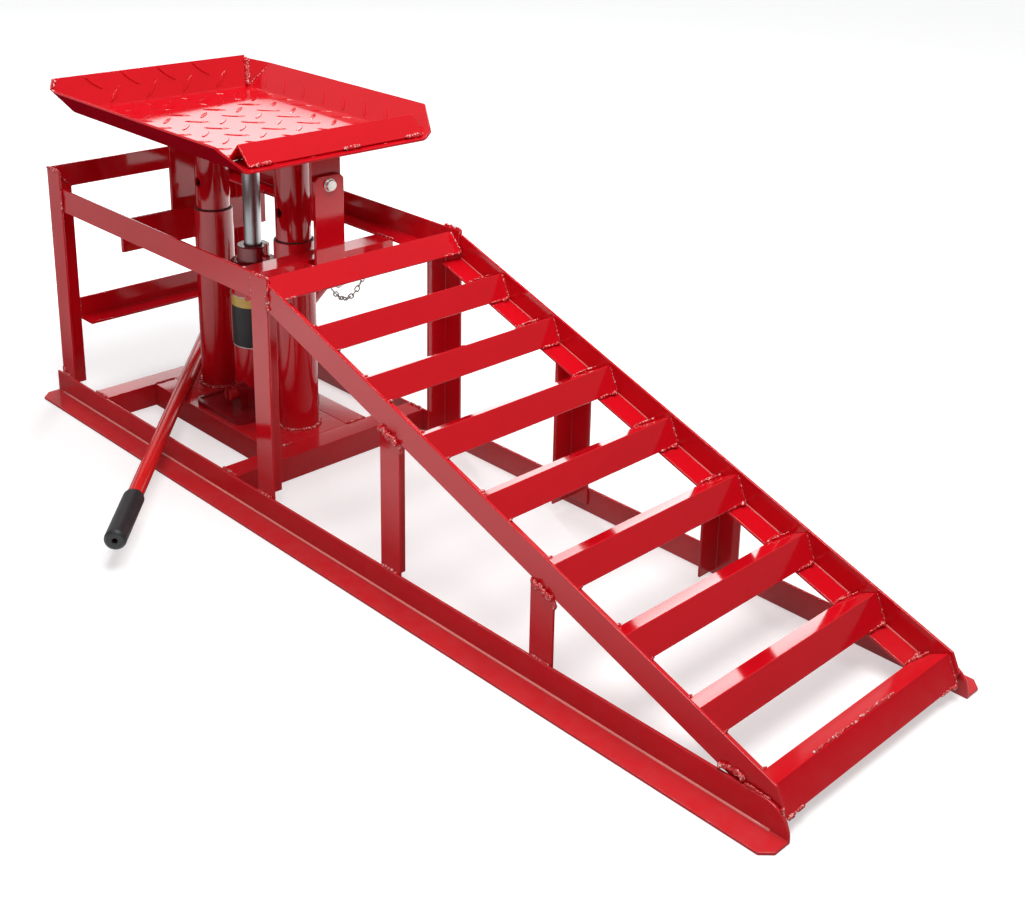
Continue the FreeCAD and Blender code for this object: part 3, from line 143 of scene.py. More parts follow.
# %% World
WORLD_FILL, TOE_SHARE = 0.45, 0.45
FILL_TONE, WHITE = (0.98, 0.99, 1, 1), (1, 1, 1, 1)
HORIZON_LOW, HORIZON_HIGH = 0.05, 0.14
BEHIND_FROM, BEHIND_FULL = 0.25, -0.35
world = bpy.data.worlds.new("studio")
bpy.context.scene.world = world
world.use_nodes = True
tree = world.node_tree
tree.nodes.clear()
ray = add_node(tree, "ShaderNodeLightPath").outputs
facing = add_node(tree, "ShaderNodeTexCoord").outputs["Generated"]
way = add_node(tree, "ShaderNodeSeparateXYZ", Vector=facing).outputs
low = add_range(tree, way["Z"], HORIZON_HIGH, HORIZON_LOW)
behind = add_range(tree, way["X"], BEHIND_FROM, BEHIND_FULL)
by_gloss = add_math(tree, "MULTIPLY", add_math(tree, "MULTIPLY", low, behind), ray["Is Glossy Ray"])
clear = add_math(tree, "MAXIMUM", ray["Is Camera Ray"], ray["Is Transmission Ray"])
dim = add_range(tree, way["X"], -1, 1, WORLD_FILL, TOE_SHARE * WORLD_FILL)
fill = add_node(tree, "ShaderNodeBackground", Color=FILL_TONE, Strength=dim)
white = add_node(tree, "ShaderNodeBackground", Color=WHITE, Strength=1)
either = add_node(tree, "ShaderNodeMixShader")
feed(tree, either.inputs[0], add_math(tree, "MAXIMUM", clear, by_gloss))
feed(tree, either.inputs[1], fill.outputs[0])
feed(tree, either.inputs[2], white.outputs[0])
add_node(tree, "ShaderNodeOutputWorld", Surface=either.outputs[0])
print("world of", len(tree.nodes), "nodes")


# %% Lamps
def softbox(name, place, target, size, strength, tint=(1, 1, 1)):
    """Rectangular lamp at a place, facing a target; strength is in watts."""
    data = bpy.data.lights.new(name, "AREA")
    data.shape = "RECTANGLE"
    data.size, data.size_y = size
    data.energy = strength
    data.color = tint
    lamp = bpy.data.objects.new(name, data)
    bpy.context.scene.collection.objects.link(lamp)
    facing = (Vector(target) - Vector(place)).to_track_quat("-Z", "Y")
    lamp.matrix_world = Matrix.Translation(Vector(place)) @ facing.to_matrix().to_4x4()


softbox("key", (0.78, -0.25, 2.0), (0.15, 0, 0.2), (1.2, 1.2), 36, (1, 0.99, 0.97))
softbox("back", (-2.89, 1.66, 1.205), (-0.15, 0, 0.4), (0.97, 0.50), 3.0)
softbox("edge_strip", (-0.72, 0.45, 1.9), (0.1, 0, 0.2), (0.13, 1.5), 13)

# %% [markdown]
# ### Paper under the object
# The paper under the object is a little darker than the paper round it, and a glow that only the camera
# sees makes up for it. So the picture keeps its white floor and a soft shadow, while the red paint
# throws less pink on the paper. The paint also mirrors the paper, and the photograph shows dark strips
# beside pale ones there. So gloss sees dark grey paper on the near side, under the object and ahead of
# the toe: painted shade in the reflections. A glow is added that only gloss sees, a painted reflection of
# lit paper. It grows to both sides, is weaker past the tail on the near side, and ends ahead of the toe.

# %% Floor
FLOOR_REACH, FLOOR_FRONT = 5, 1.25
PAPER_NEAR, PAPER_FAR = (0.62, 0.62, 0.6262, 1), (0.93, 0.93, 0.93465, 1)
# The darker patch: axis, its middle, and the half sizes where it starts and ends to fade.
PATCH = (("X", 0.19, 0.62, 1.05), ("Y", 0, 0.20, 0.62))
MIRRORED_PAPER = (0.16, 0.16, 0.16, 1)
MIRROR_SIDE, MIRROR_FRONT = (0.25, 0.10), (0.75, 0.95)
GLOW_NEAR, GLOW_FAR = 0.50, 0.62
# The glow that gloss sees: where on Y it begins, where it is full, and how much it adds.
FAR_SIDE = (-0.1, 0.2)
GLOSS_GLOW = ((-0.19, -0.30, 0.9), (-0.30, -0.75, 0.8), (*FAR_SIDE, 0.55), (0.45, 0.9, 1.6))
TAIL_END, TAIL_SHARE = (-0.40, -0.75), 0.35
FRONT_END = (0.9, 1.2)
bm = bmesh.new()
bmesh.ops.create_grid(bm, x_segments=2, y_segments=2, size=FLOOR_REACH)
bmesh.ops.translate(bm, verts=bm.verts, vec=(FLOOR_FRONT - FLOOR_REACH, 0, 0))
floor_mesh = bpy.data.meshes.new("studio_floor")
bm.to_mesh(floor_mesh)
bm.free()
floor = bpy.data.objects.new("studio_floor", floor_mesh)
bpy.context.scene.collection.objects.link(floor)
floor_paper = bpy.data.materials.new("studio_paper")
floor_paper.use_nodes = True
tree = floor_paper.node_tree
paper = tree.nodes["Principled BSDF"]
paper.inputs["Roughness"].default_value = 0.6
paper.inputs["Specular IOR Level"].default_value = 0.1
ray = add_node(tree, "ShaderNodeLightPath").outputs
spot = add_node(tree, "ShaderNodeTexCoord").outputs["Object"]
place = add_node(tree, "ShaderNodeSeparateXYZ", Vector=spot).outputs
far = []
for axis, middle, near_half, far_half in PATCH:
    span = add_math(tree, "ABSOLUTE", add_math(tree, "SUBTRACT", place[axis], middle))
    far.append(add_range(tree, span, near_half, far_half, curve="SMOOTHSTEP"))
away = add_math(tree, "MAXIMUM", *far)
dark = add_math(tree, "MAXIMUM", add_range(tree, place["Y"], *MIRROR_SIDE),
                add_range(tree, place["X"], *MIRROR_FRONT))
dark = add_math(tree, "MULTIPLY", dark, ray["Is Glossy Ray"])
tone = add_mix(tree, away, PAPER_NEAR, PAPER_FAR)
feed(tree, paper.inputs["Base Color"], add_mix(tree, dark, tone, MIRRORED_PAPER))
glow = 0.0
for start, full, added in GLOSS_GLOW:
    glow = add_math(tree, "ADD", glow, add_range(tree, place["Y"], start, full, 0, added))
tail = add_range(tree, place["X"], *TAIL_END, 1, TAIL_SHARE)
kept = add_math(tree, "MAXIMUM", tail, add_range(tree, place["Y"], *FAR_SIDE))
kept = add_math(tree, "MULTIPLY", kept, add_range(tree, place["X"], *FRONT_END, 1, 0))
by_gloss = add_math(tree, "MULTIPLY", ray["Is Glossy Ray"], add_math(tree, "MULTIPLY", kept, glow))
by_camera = add_math(tree, "MULTIPLY", ray["Is Camera Ray"],
                     add_range(tree, away, 0, 1, GLOW_NEAR, GLOW_FAR))
floor_glow = add_node(tree, "ShaderNodeEmission", Color=WHITE,
                      Strength=add_math(tree, "ADD", by_camera, by_gloss))
floor_sum = add_node(tree, "ShaderNodeAddShader")
feed(tree, floor_sum.inputs[0], paper.outputs[0])
feed(tree, floor_sum.inputs[1], floor_glow.outputs[0])
feed(tree, tree.nodes["Material Output"].inputs["Surface"], floor_sum.outputs[0])
floor_mesh.materials.append(floor_paper)
print("floor paper of", len(tree.nodes), "nodes")

# %% [markdown]
# ## Paint and metal
# Gloss paint on welded steel is never even. It has a fine orange-peel skin that breaks up reflections,
# slow changes of tone where the coat is thick or thin, and a little dust low down. Those effects are
# node groups with named inputs, so each material places them with its own values.


# %% Node group: orange-peel skin
def new_group(name, output, **inputs):
    """Empty node group with float inputs and one float output; returns it and both ends."""
    group = bpy.data.node_groups.new(name, "ShaderNodeTree")
    for label, default in inputs.items():
        socket = group.interface.new_socket(label, in_out="INPUT", socket_type="NodeSocketFloat")
        socket.default_value = default
    group.interface.new_socket(output, in_out="OUTPUT", socket_type="NodeSocketFloat")
    entry = add_node(group, "NodeGroupInput", (-900, 0))
    leave = add_node(group, "NodeGroupOutput", (600, 0))
    return group, entry.outputs, leave.inputs[output]


skin, entry, leave = new_group("Orange peel", "Height", Scale=260, Depth=0.4)
fine = add_noise(skin, entry["Scale"], (-600, 200), Detail=2, Roughness=0.45)
slow = add_noise(skin, 14, (-600, -100), Detail=1)
blend = add_math(skin, "ADD", fine, slow, (-300, 0))
feed(skin, leave, add_math(skin, "MULTIPLY", blend, entry["Depth"], (-100, 0)))

# %% Node group: uneven coat
coat, entry, leave = new_group("Uneven coat", "Mask", Scale=9, Spread=0.5)
cloud = add_noise(coat, entry["Scale"], (-600, 200), Detail=4, Roughness=0.6)
span = add_range(coat, cloud, 0.3, 0.7, place=(-300, 100))
feed(coat, leave, add_math(coat, "MULTIPLY", span, entry["Spread"], (-100, 100)))

# %% Node group: dust near the floor
dust, entry, leave = new_group("Floor dust", "Mask", Reach=0.05, Amount=0.25)
spot = add_node(dust, "ShaderNodeTexCoord", (-900, 200)).outputs["Object"]
height = add_node(dust, "ShaderNodeSeparateXYZ", (-700, 200), Vector=spot).outputs["Z"]
low = add_range(dust, height, 0, entry["Reach"], 1, 0, (-450, 200))
cloud = add_noise(dust, 60, (-450, -100), Detail=5, Roughness=0.7)
patch = add_math(dust, "MULTIPLY", low, cloud, (-200, 100))
feed(dust, leave, add_math(dust, "MULTIPLY", patch, entry["Amount"], (0, 100)))
print("groups", [item.name for item in (skin, coat, dust)])

# %% [markdown]
# One function makes every finish. It mixes two tones by the uneven coat, adds dust, and puts the
# orange-peel skin into a Bump node. Roughness, metal and gloss are plain values on the shader.


# %% Finish function
DUST_TONE = (0.30, 0.25, 0.24, 1)


def finish(name, tone, second, rough=0.3, metal=0.0, peel=(260, 0.4), cloud=(9, 0.5), dusty=0.2,
           bump=0.12, distance=0.0006, gloss=0.5):
    """Painted or metal finish from two tones and the three effect groups."""
    made = bpy.data.materials.new(name)
    made.use_nodes = True
    tree = made.node_tree
    shader = tree.nodes["Principled BSDF"]
    for label, value in (("Roughness", rough), ("Metallic", metal), ("Specular IOR Level", gloss)):
        shader.inputs[label].default_value = value
    uneven = add_node(tree, "ShaderNodeGroup", (-700, 200), node_tree=coat, Scale=cloud[0],
                      Spread=cloud[1])
    dirt = add_node(tree, "ShaderNodeGroup", (-700, -50), node_tree=dust, Amount=dusty)
    pebble = add_node(tree, "ShaderNodeGroup", (-700, -300), node_tree=skin, Scale=peel[0],
                      Depth=peel[1])
    tones = add_mix(tree, uneven.outputs["Mask"], (*tone, 1), (*second, 1), (-450, 200))
    dusted = add_mix(tree, dirt.outputs["Mask"], tones, DUST_TONE, (-230, 200))
    relief = add_node(tree, "ShaderNodeBump", (-230, -200), Strength=bump, Distance=distance,
                      Height=pebble.outputs["Height"])
    feed(tree, shader.inputs["Base Color"], dusted)
    feed(tree, shader.inputs["Normal"], relief.outputs["Normal"])
    return made


# %% Finishes
red_paint = finish("red_gloss_paint", (0.64, 0.004, 0.012), (0.55, 0.003, 0.009), rough=0.09)
weld_paint = finish("weld_paint_with_painted_glints", (0.60, 0.006, 0.012), (0.46, 0.004, 0.010), rough=0.08,
                    peel=(700, 1.0), bump=0.7, distance=0.0014, gloss=0.8)
# Darker, duller coat on the back of the tray sheet: painted shade on its underside and on the outer faces of
# the lips.
underside_shade_paint = finish("underside_painted_shade", (0.30, 0.003, 0.010), (0.22, 0.002, 0.008), rough=0.5,
                     gloss=0.0)
cast_paint = finish("painted_casting", (0.46, 0.006, 0.012), (0.34, 0.004, 0.009), rough=0.28,
                    peel=(420, 1.0), bump=0.45, distance=0.0009)
zinc = finish("zinc_plate", (0.66, 0.66, 0.62), (0.46, 0.45, 0.42), rough=0.34, metal=1.0,
              peel=(700, 0.6), cloud=(120, 0.8), dusty=0.05)
bright_zinc = finish("bright_zinc", (0.86, 0.86, 0.82), (0.70, 0.70, 0.66), metal=1.0,
                     peel=(900, 0.8), cloud=(300, 0.8), dusty=0.0, bump=0.3)
ground_steel = finish("ground_steel", (0.27, 0.275, 0.285), (0.22, 0.225, 0.235), metal=1.0,
                      peel=(500, 0.2), cloud=(60, 0.6), dusty=0.0)
dull_steel = finish("dull_steel", (0.34, 0.34, 0.35), (0.22, 0.22, 0.22), rough=0.42, metal=1.0,
                    cloud=(60, 0.7), dusty=0.1)
# Darker glossy casting: the head nut's dark tone, and painted shade on the jack base between the guide tubes.
dark_casting_and_shade = finish("dark_casting_and_painted_shade", (0.30, 0.004, 0.010), (0.20, 0.003, 0.008), rough=0.14,
                    peel=(420, 0.8), bump=0.3, distance=0.0009)
handle_paint = finish("handle_paint", (0.74, 0.012, 0.012), (0.62, 0.008, 0.010), rough=0.16, gloss=0.45)
chain_zinc = finish("dull_zinc", (0.34, 0.33, 0.30), (0.20, 0.19, 0.17), rough=0.38, metal=1.0,
                    peel=(900, 0.6), cloud=(300, 0.8), dusty=0.0)
toe_paint = finish("toe_paint", (0.64, 0.004, 0.012), (0.55, 0.003, 0.009), rough=0.16, gloss=0.05)
# Pale paint for the root lines: a painted highlight in the corners of the angle iron.
root_highlight_paint = finish("painted_root_highlight", (0.86, 0.30, 0.27), (0.74, 0.14, 0.13), rough=0.2, dusty=0.0)
# Near-black paint for the rings at the guide tubes: painted shade in the gap between the tubes.
rim_shade_paint = finish("painted_rim_shade", (0.012, 0.008, 0.008), (0.03, 0.012, 0.012), rough=0.5, cloud=(200, 0.9))
black_rubber = finish("black_rubber", (0.010, 0.013, 0.016), (0.017, 0.020, 0.023), rough=0.45,
                      peel=(600, 1.0), cloud=(40, 0.8), bump=0.35)
label_black = finish("label_black", (0.016, 0.017, 0.018), (0.03, 0.03, 0.03), rough=0.35, dusty=0.0,
                     gloss=0.25)
label_yellow = finish("label_yellow", (0.72, 0.50, 0.06), (0.62, 0.42, 0.05), rough=0.25, dusty=0.0)
label_white = finish("label_white", (0.75, 0.74, 0.70), (0.66, 0.65, 0.62), rough=0.25, dusty=0.0)
SLOT_FINISH = {"red_paint": red_paint, "zinc_steel": zinc, "black_casting": cast_paint,
               "jack_paint": red_paint, "bare_steel": dull_steel, "bright_steel": ground_steel,
               "handle_paint": handle_paint, "black_rubber": black_rubber}
print(len(SLOT_FINISH), "slots have a finish")

# %% [markdown]
# The crests of the weld beads get pale specks of colour as painted glints. Fine noise picks them out, so
# every bead shows a painted glint from any side.

# %% Painted glints on the weld crests
GLINT_SCALE, GLINT_FROM, GLINT_FULL = 330, 0.56, 0.68
PAINTED_GLINT_TONE = (0.92, 0.55, 0.51, 1)
tree = weld_paint.node_tree
shader = tree.nodes["Principled BSDF"]
covered = shader.inputs["Base Color"].links[0].from_socket
glint_noise = add_noise(tree, GLINT_SCALE, (-500, 500), Detail=2)
# Mask of the painted glints on the bead crests.
crest = add_range(tree, glint_noise, GLINT_FROM, GLINT_FULL, place=(-300, 500))
feed(tree, shader.inputs["Base Color"], add_mix(tree, crest, covered, PAINTED_GLINT_TONE, (-100, 400)))
print("crest tone", PAINTED_GLINT_TONE[:3])

# %% [markdown]
# ## Rounded edges on the steel
# Rolled angle iron has no sharp corner. Its edges are rounded by a little under a millimetre, and each
# carries a thin bright line of light. The CAD meshes stay as they are: a Weld modifier joins their
# loose triangles, a planar Decimate makes whole faces of them, and a Bevel modifier rounds only the
# edges that turn by more than 30 degrees.


# %% Dress the CAD nodes
JOINED, FLAT_WITHIN, SHARP = 0.00001, math.radians(0.5), math.radians(30)


def round_edges(piece, width):
    """Rounds the sharp edges of a piece by modifiers."""
    weld = piece.modifiers.new("join", "WELD")
    weld.merge_threshold = JOINED
    flat = piece.modifiers.new("flats", "DECIMATE")
    flat.decimate_type, flat.angle_limit = "DISSOLVE", FLAT_WITHIN
    bevel = piece.modifiers.new("round", "BEVEL")
    bevel.width, bevel.segments = width, 2
    bevel.limit_method, bevel.angle_limit = "ANGLE", SHARP
    bevel.miter_outer = "MITER_ARC"
    even = piece.modifiers.new("even", "WEIGHTED_NORMAL")
    even.weight, even.keep_sharp = 80, False


# Width of the rounding; a piece with none keeps its CAD edges.
EDGE_USUAL = 0.0008
EDGE = {"lock_chain": 0.00055, "filler_plug": 0.0, "jack_base": 0.0016, "head_nut": 0.0012,
        "ram": 0.0006, "release_valve": 0.0006}
# The jack base takes the darker casting as painted shade from the tubes round it.
NODE_FINISH = {"release_valve": cast_paint, "filler_plug": cast_paint, "head_nut": dark_casting_and_shade,
               "pump_lever": red_paint, "lock_bolt": bright_zinc, "toe_bar": toe_paint,
               "jack_base": dark_casting_and_shade}
slots = {item["node"]: item["material_slot"] for item in frame["record"]["subparts"]}
for name, piece in nodes.items():
    piece.data.materials.clear()
    piece.data.materials.append(NODE_FINISH.get(name, SLOT_FINISH[slots[name]]))
    width = EDGE.get(name, EDGE_USUAL)
    if width:
        round_edges(piece, width)
print(len(nodes), "CAD nodes dressed")


# %% Helper for new pieces
def new_piece(name, bm, finish_used, body, smooth=True):
    """Object from a bmesh, shaded, painted and riding on a body."""
    mesh = bpy.data.meshes.new(name)
    bm.to_mesh(mesh)
    bm.free()
    mesh.polygons.foreach_set("use_smooth", [smooth] * len(mesh.polygons))
    piece = bpy.data.objects.new(name, mesh)
    bpy.context.scene.collection.objects.link(piece)
    mesh.materials.append(finish_used)
    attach(piece, body)
    print(name, len(mesh.polygons), "faces")
    return piece


# %% [markdown]
# ## Wheel tray
# The tray is one sheet of tread plate, 3 mm thick. Two long edges and the rear edge are folded up, and
# the corners are welded. It is modelled the way it is made: a flat floor, edges extruded into lips, folds
# beveled to a small radius, then thickness. The raised bars come after, folded with the same sizes.

# %% Tray sizes
TRAY_TOP = 0.3914
SHEET = 0.003
HALF_FLOOR = 0.123
REAR_FOLD, FRONT_EDGE = -0.3465, 0.0235
LIP_RISE, LIP_LEAN = 0.031, 0.031
REAR_RISE, REAR_LEAN = 0.039, 0.022
REAR_TOP_NEAR, REAR_TOP_FAR = 0.140, 0.1345
TAPER_FAR, TAPER_NEAR, FRONT_RISE = 0.038, 0.010, 0.008
LIP_START = 0.0117
SPREAD_SHARE, REAR_SPREAD = 0.72, 0.146
SEAM_SHARE = 0.92
FOLD_OFFSET = 0.003
TRAY_EDGE = 0.0006
LIFT = 0.0002
SPREAD = Vector((REAR_FOLD - REAR_LEAN * SPREAD_SHARE, -REAR_SPREAD, TRAY_TOP + REAR_RISE * SPREAD_SHARE))
REAR_CORNER = Vector((REAR_FOLD - REAR_LEAN, REAR_TOP_FAR, TRAY_TOP + REAR_RISE))
FAR_FOOT = Vector((REAR_FOLD, HALF_FLOOR, TRAY_TOP))
SEAM_TOP = FAR_FOOT.lerp(REAR_CORNER, SEAM_SHARE)
LIP_END = Vector((REAR_FOLD + LIP_START, HALF_FLOOR + LIP_LEAN, TRAY_TOP + LIP_RISE))


# %% Fold the sheet
def grow(bm, edges):
    """Extrudes open edges; returns the new vertices and the new edges that run between them."""
    made = bmesh.ops.extrude_edge_only(bm, edges=edges)["geom"]
    verts = [item for item in made if isinstance(item, bmesh.types.BMVert)]
    return verts, [item for item in made if isinstance(item, bmesh.types.BMEdge)
                   and all(end in verts for end in item.verts)]


bm = bmesh.new()
floor_line = [bm.verts.new((REAR_FOLD, side * HALF_FLOOR, TRAY_TOP)) for side in (-1, 1)]
fresh, taper_line = grow(bm, [bm.edges.new(floor_line)])
for vert in fresh:
    vert.co.x = FRONT_EDGE - (TAPER_FAR if vert.co.y > 0 else TAPER_NEAR)
for vert in grow(bm, taper_line)[0]:
    vert.co.x = FRONT_EDGE
for side in (-1, 1):
    rim = [item for item in bm.edges if all(abs(end.co.y - side * HALF_FLOOR) < LIFT for end in item.verts)]
    fresh = grow(bm, rim)[0]
    bmesh.ops.translate(bm, verts=fresh, vec=(0, side * LIP_LEAN, LIP_RISE))
    for vert in fresh:
        if vert.co.x < REAR_FOLD + LIFT:
            vert.co.x += LIP_START
        if vert.co.x > FRONT_EDGE - LIFT:
            vert.co.y = side * (HALF_FLOOR + LIP_LEAN * FRONT_RISE / LIP_RISE)
            vert.co.z = TRAY_TOP + FRONT_RISE
rear = [item for item in bm.edges if all(abs(end.co.x - REAR_FOLD) < LIFT for end in item.verts)
        and all(abs(end.co.z - TRAY_TOP) < LIFT for end in item.verts)]
fresh, top_line = grow(bm, rear)
for vert in fresh:
    vert.co = SEAM_TOP if vert.co.y > 0 else SPREAD
for vert in grow(bm, top_line)[0]:
    half = REAR_TOP_FAR if vert.co.y > 0 else -REAR_TOP_NEAR
    vert.co = (REAR_FOLD - REAR_LEAN, half, TRAY_TOP + REAR_RISE)
bmesh.ops.remove_doubles(bm, verts=bm.verts, dist=LIFT)
corner = [min(bm.verts, key=lambda vert: (vert.co - place).length)
          for place in (FAR_FOOT, SEAM_TOP, LIP_END)]
for face in bmesh.ops.contextual_create(bm, geom=corner)["faces"]:
    for edge in face.edges:
        edge.smooth = False
folds = [item for item in bm.edges if len(item.link_faces) == 2
         and item.calc_face_angle(0) > math.radians(10)
         and all(abs(end.co.z - TRAY_TOP) < LIFT for end in item.verts)]
bmesh.ops.bevel(bm, geom=folds, offset=FOLD_OFFSET, segments=4, profile=0.5, affect="EDGES", material=-1)
bmesh.ops.recalc_face_normals(bm, faces=bm.faces)
if sum(item.normal.z * item.calc_area() for item in bm.faces) < 0:
    bmesh.ops.reverse_faces(bm, faces=bm.faces)
tray = new_piece("tray_sheet", bm, red_paint, "platform")
thick = tray.modifiers.new("thickness", "SOLIDIFY")
thick.thickness, thick.offset = SHEET, -1
# The sheet's back faces take the darker coat as painted shade.
tray.data.materials.append(underside_shade_paint)
thick.material_offset = 1
round_tray = tray.modifiers.new("edges", "BEVEL")
round_tray.width, round_tray.segments = TRAY_EDGE, 2
round_tray.limit_method, round_tray.angle_limit = "ANGLE", math.radians(50)
round_tray.harden_normals = True
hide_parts("platform_tray")


# %% [markdown]
# ### Raised bars
# Tread plate is rolled with lens-shaped bars in two directions, at 45 degrees to the sheet. They repeat
# every 43 mm along the tray and 51 mm across it, and the second set sits between the first. The bars
# are laid out on the flat sheet, and each point is then carried over the folds, as the press brake did
# with the real sheet. No bar lies on a fold or close to an edge, and those on the lips stand higher.

# %% Fold function and one bar
def fold(run, across, height):
    """Point of the flat sheet, carried over the tray's folds."""
    side = math.copysign(1, across)
    over = max(abs(across) - HALF_FLOOR, 0)
    back = max(REAR_FOLD - run, 0)
    if back > 0:
        slant = math.hypot(REAR_LEAN, REAR_RISE)
        lean, rise = REAR_LEAN / slant, REAR_RISE / slant
        return Vector((REAR_FOLD - back * lean + height * rise, across,
                       TRAY_TOP + back * rise + height * lean))
    if over > 0:
        slant = math.hypot(LIP_LEAN, LIP_RISE)
        out_y, out_z = LIP_LEAN / slant, LIP_RISE / slant
        return Vector((run, side * (HALF_FLOOR + over * out_y - height * out_z),
                       TRAY_TOP + over * out_z + height * out_y))
    return Vector((run, across, TRAY_TOP + height))


PITCH_RUN, PITCH_ACROSS = 0.0426, 0.0508
RUN_FROM, ACROSS_AT = -0.3795, 0.0121
SECOND_RUN, SECOND_ACROSS = 0.42, 0.48
BAR_LENGTH, BAR_WIDTH, BAR_RISE, BAR_REACH = 0.032, 0.0056, 0.0009, 0.012
BAR_SIDES, FLANK_INSET, CROWN_INSET, CROWN, SLIMMING = 14, 0.10, 0.06, 1.04, 0.35
LIP_SHARE = 1.9
LIP_RUN, REAR_RUN = 0.041, 0.0445
CLEAR, LIP_CLEAR, REAR_CLEAR = 0.0155, 0.0095, 0.0105
FOLD_ZONE, FOLD_CLEAR, REAR_FOLD_CLEAR = 0.010, 0.004, 0.002


def add_bar(bm, run, across, turn):
    """Lens-shaped raised bar, made flat at a place and turned, then folded with the sheet."""
    made = bmesh.ops.create_circle(bm, cap_ends=True, segments=BAR_SIDES, radius=0.5)["verts"]
    base = [item for item in bm.faces if all(vert in made for vert in item.verts)]
    ring = set(made)
    for inset, rise in ((FLANK_INSET, 1), (CROWN_INSET, CROWN)):
        walls = bmesh.ops.inset_individual(bm, faces=base, thickness=inset, depth=0, use_even_offset=True)
        for face in base:
            for vert in face.verts:
                vert.co.z = rise
        for face in walls["faces"] + base:
            ring.update(face.verts)
    for vert in ring:
        long, wide, rise = vert.co.x * BAR_LENGTH, vert.co.y * BAR_WIDTH, vert.co.z * BAR_RISE / CROWN
        if run < REAR_FOLD or abs(across) > HALF_FLOOR:
            rise *= LIP_SHARE
        wide *= 1 - (abs(vert.co.x) * 2) ** 2 * SLIMMING
        vert.co = fold(run + long * math.cos(turn) - wide * math.sin(turn),
                       across + long * math.sin(turn) + wide * math.cos(turn), rise)


def has_room(run, across):
    """Whether a bar fits at a place of the flat sheet."""
    taper = TAPER_FAR if across > 0 else TAPER_NEAR
    over, back = abs(across) - HALF_FLOOR, REAR_FOLD - run
    if run > FRONT_EDGE - CLEAR or over > LIP_RUN - LIP_CLEAR or back > REAR_RUN - REAR_CLEAR:
        return False
    if over > -FOLD_ZONE and (run < REAR_FOLD + 2 * BAR_REACH or run > FRONT_EDGE - taper - BAR_REACH):
        return False
    if abs(over) < FOLD_CLEAR or -REAR_FOLD_CLEAR < back < FOLD_CLEAR:
        return False
    return back <= 0 or over <= -FOLD_ZONE


bm = bmesh.new()
for row in range(-5, 5):
    for column in range(-1, 12):
        for second, turn in ((0, math.radians(45)), (1, math.radians(-45))):
            run = RUN_FROM + (column + second * SECOND_RUN) * PITCH_RUN
            across = ACROSS_AT + (row + second * SECOND_ACROSS) * PITCH_ACROSS
            if has_room(run, across):
                add_bar(bm, run, across, turn)
new_piece("tray_bars", bm, red_paint, "platform", smooth=False)

# %% [markdown]
# ## Weld beads
# The frame is held together by short welds, painted over. A bead is a rope of frozen ripples: a ring of
# points is carried along a path, and its radius swells and shrinks every couple of millimetres. Slow
# noise pushes it off the straight line, as a hand does. The noise takes its offsets from a clock unless
# it has a seed, so it gets one, and every run lays the same beads.

# %% Bead helper
RING = 8
STEP, RIPPLE = 0.0008, 0.0023
SWELL, WANDER, LUMP = 0.30, 0.28, 0.35
WANDER_SCALE, LUMP_SCALE = 190, 260
END_STEPS = 4
WANDER_SEED = 7
noise.seed_set(WANDER_SEED)


def walk(path, step):
    """Points at even steps along a polyline, each with its direction."""
    spots = []
    for first, last in zip(path, path[1:]):
        span = last - first
        count = max(int(span.length / step), 1)
        for index in range(count):
            spots.append((first.lerp(last, index / count), span.normalized()))
    spots.append((path[-1], (path[-1] - path[-2]).normalized()))
    return spots


def add_tube(bm, spots, radii):
    """Closed-ended tube round a list of points with directions and radii."""
    rings = []
    for (spot, along), radius in zip(spots, radii):
        side = along.orthogonal().normalized() if not rings else (side - along * side.dot(along)).normalized()
        other = along.cross(side)
        ring = []
        for index in range(RING):
            turn = 2 * math.pi * index / RING
            ring.append(bm.verts.new(spot + (side * math.cos(turn) + other * math.sin(turn)) * radius))
        rings.append(ring)
    for ring, follower in zip(rings, rings[1:]):
        for index in range(RING):
            after = (index + 1) % RING
            bm.faces.new((ring[index], ring[after], follower[after], follower[index]))
    bm.faces.new(rings[0][::-1])
    bm.faces.new(rings[-1])


def add_bead(bm, path, radius, rough=1.0):
    """Weld bead along a path: a tube with ripples, hand wander and rounded ends."""
    spots = walk([Vector(point) for point in path], STEP)
    moved, radii = [], []
    for index, (spot, along) in enumerate(spots):
        ripple = abs(math.sin(math.pi * index * STEP / RIPPLE))
        drift = noise.noise_vector(spot * WANDER_SCALE) * radius * WANDER * rough
        moved.append((spot + drift, along))
        ends = min(index + 1, len(spots) - index, END_STEPS) / END_STEPS
        lump = 1 + LUMP * rough * noise.noise(spot * LUMP_SCALE)
        radii.append(radius * (1 - SWELL + SWELL * ripple) * lump * math.sqrt(ends))
    add_tube(bm, moved, radii)


# %% Places of the frame that the welds need
REAR, POST, LEG, WALL = -0.4065, 0.138, 0.030, 0.003
RISE, HEAD = 0.346, 0.44897
DROP = LEG * math.sqrt(1 + RISE * RISE)
BASE_TOP, RAIL_LOW, RAIL_HIGH = 0.030, 0.257, 0.287
FRONT_POST, SHORT_POSTS = REAR + 0.451, (REAR + 0.671, REAR + 0.889)
BASE_ANGLES, PLATE_ENDS = (-0.2915, 0.0015), (-0.2915, -0.0285)
CROSS_BARS = ((-0.2865, 0.005), (-0.0155, LEG))
TUBE_RUNS, OUTER_RADIUS, INNER_RADIUS, RIM = (-0.2455, -0.0715), 0.02415, 0.0212, 0.269
UNDERSIDE = 0.3884
STRAP_RUNS, STRAP = (REAR + 0.097, REAR + 0.402), 0.005
RIDGE_CLEAR = 0.010


def slope_at(x):
    """Height of the ramp's top edge line."""
    return HEAD - RISE * (x - REAR)


def mesh_points(name):
    """World points of a CAD node."""
    return [nodes[name].matrix_world @ vert.co for vert in nodes[name].data.vertices]


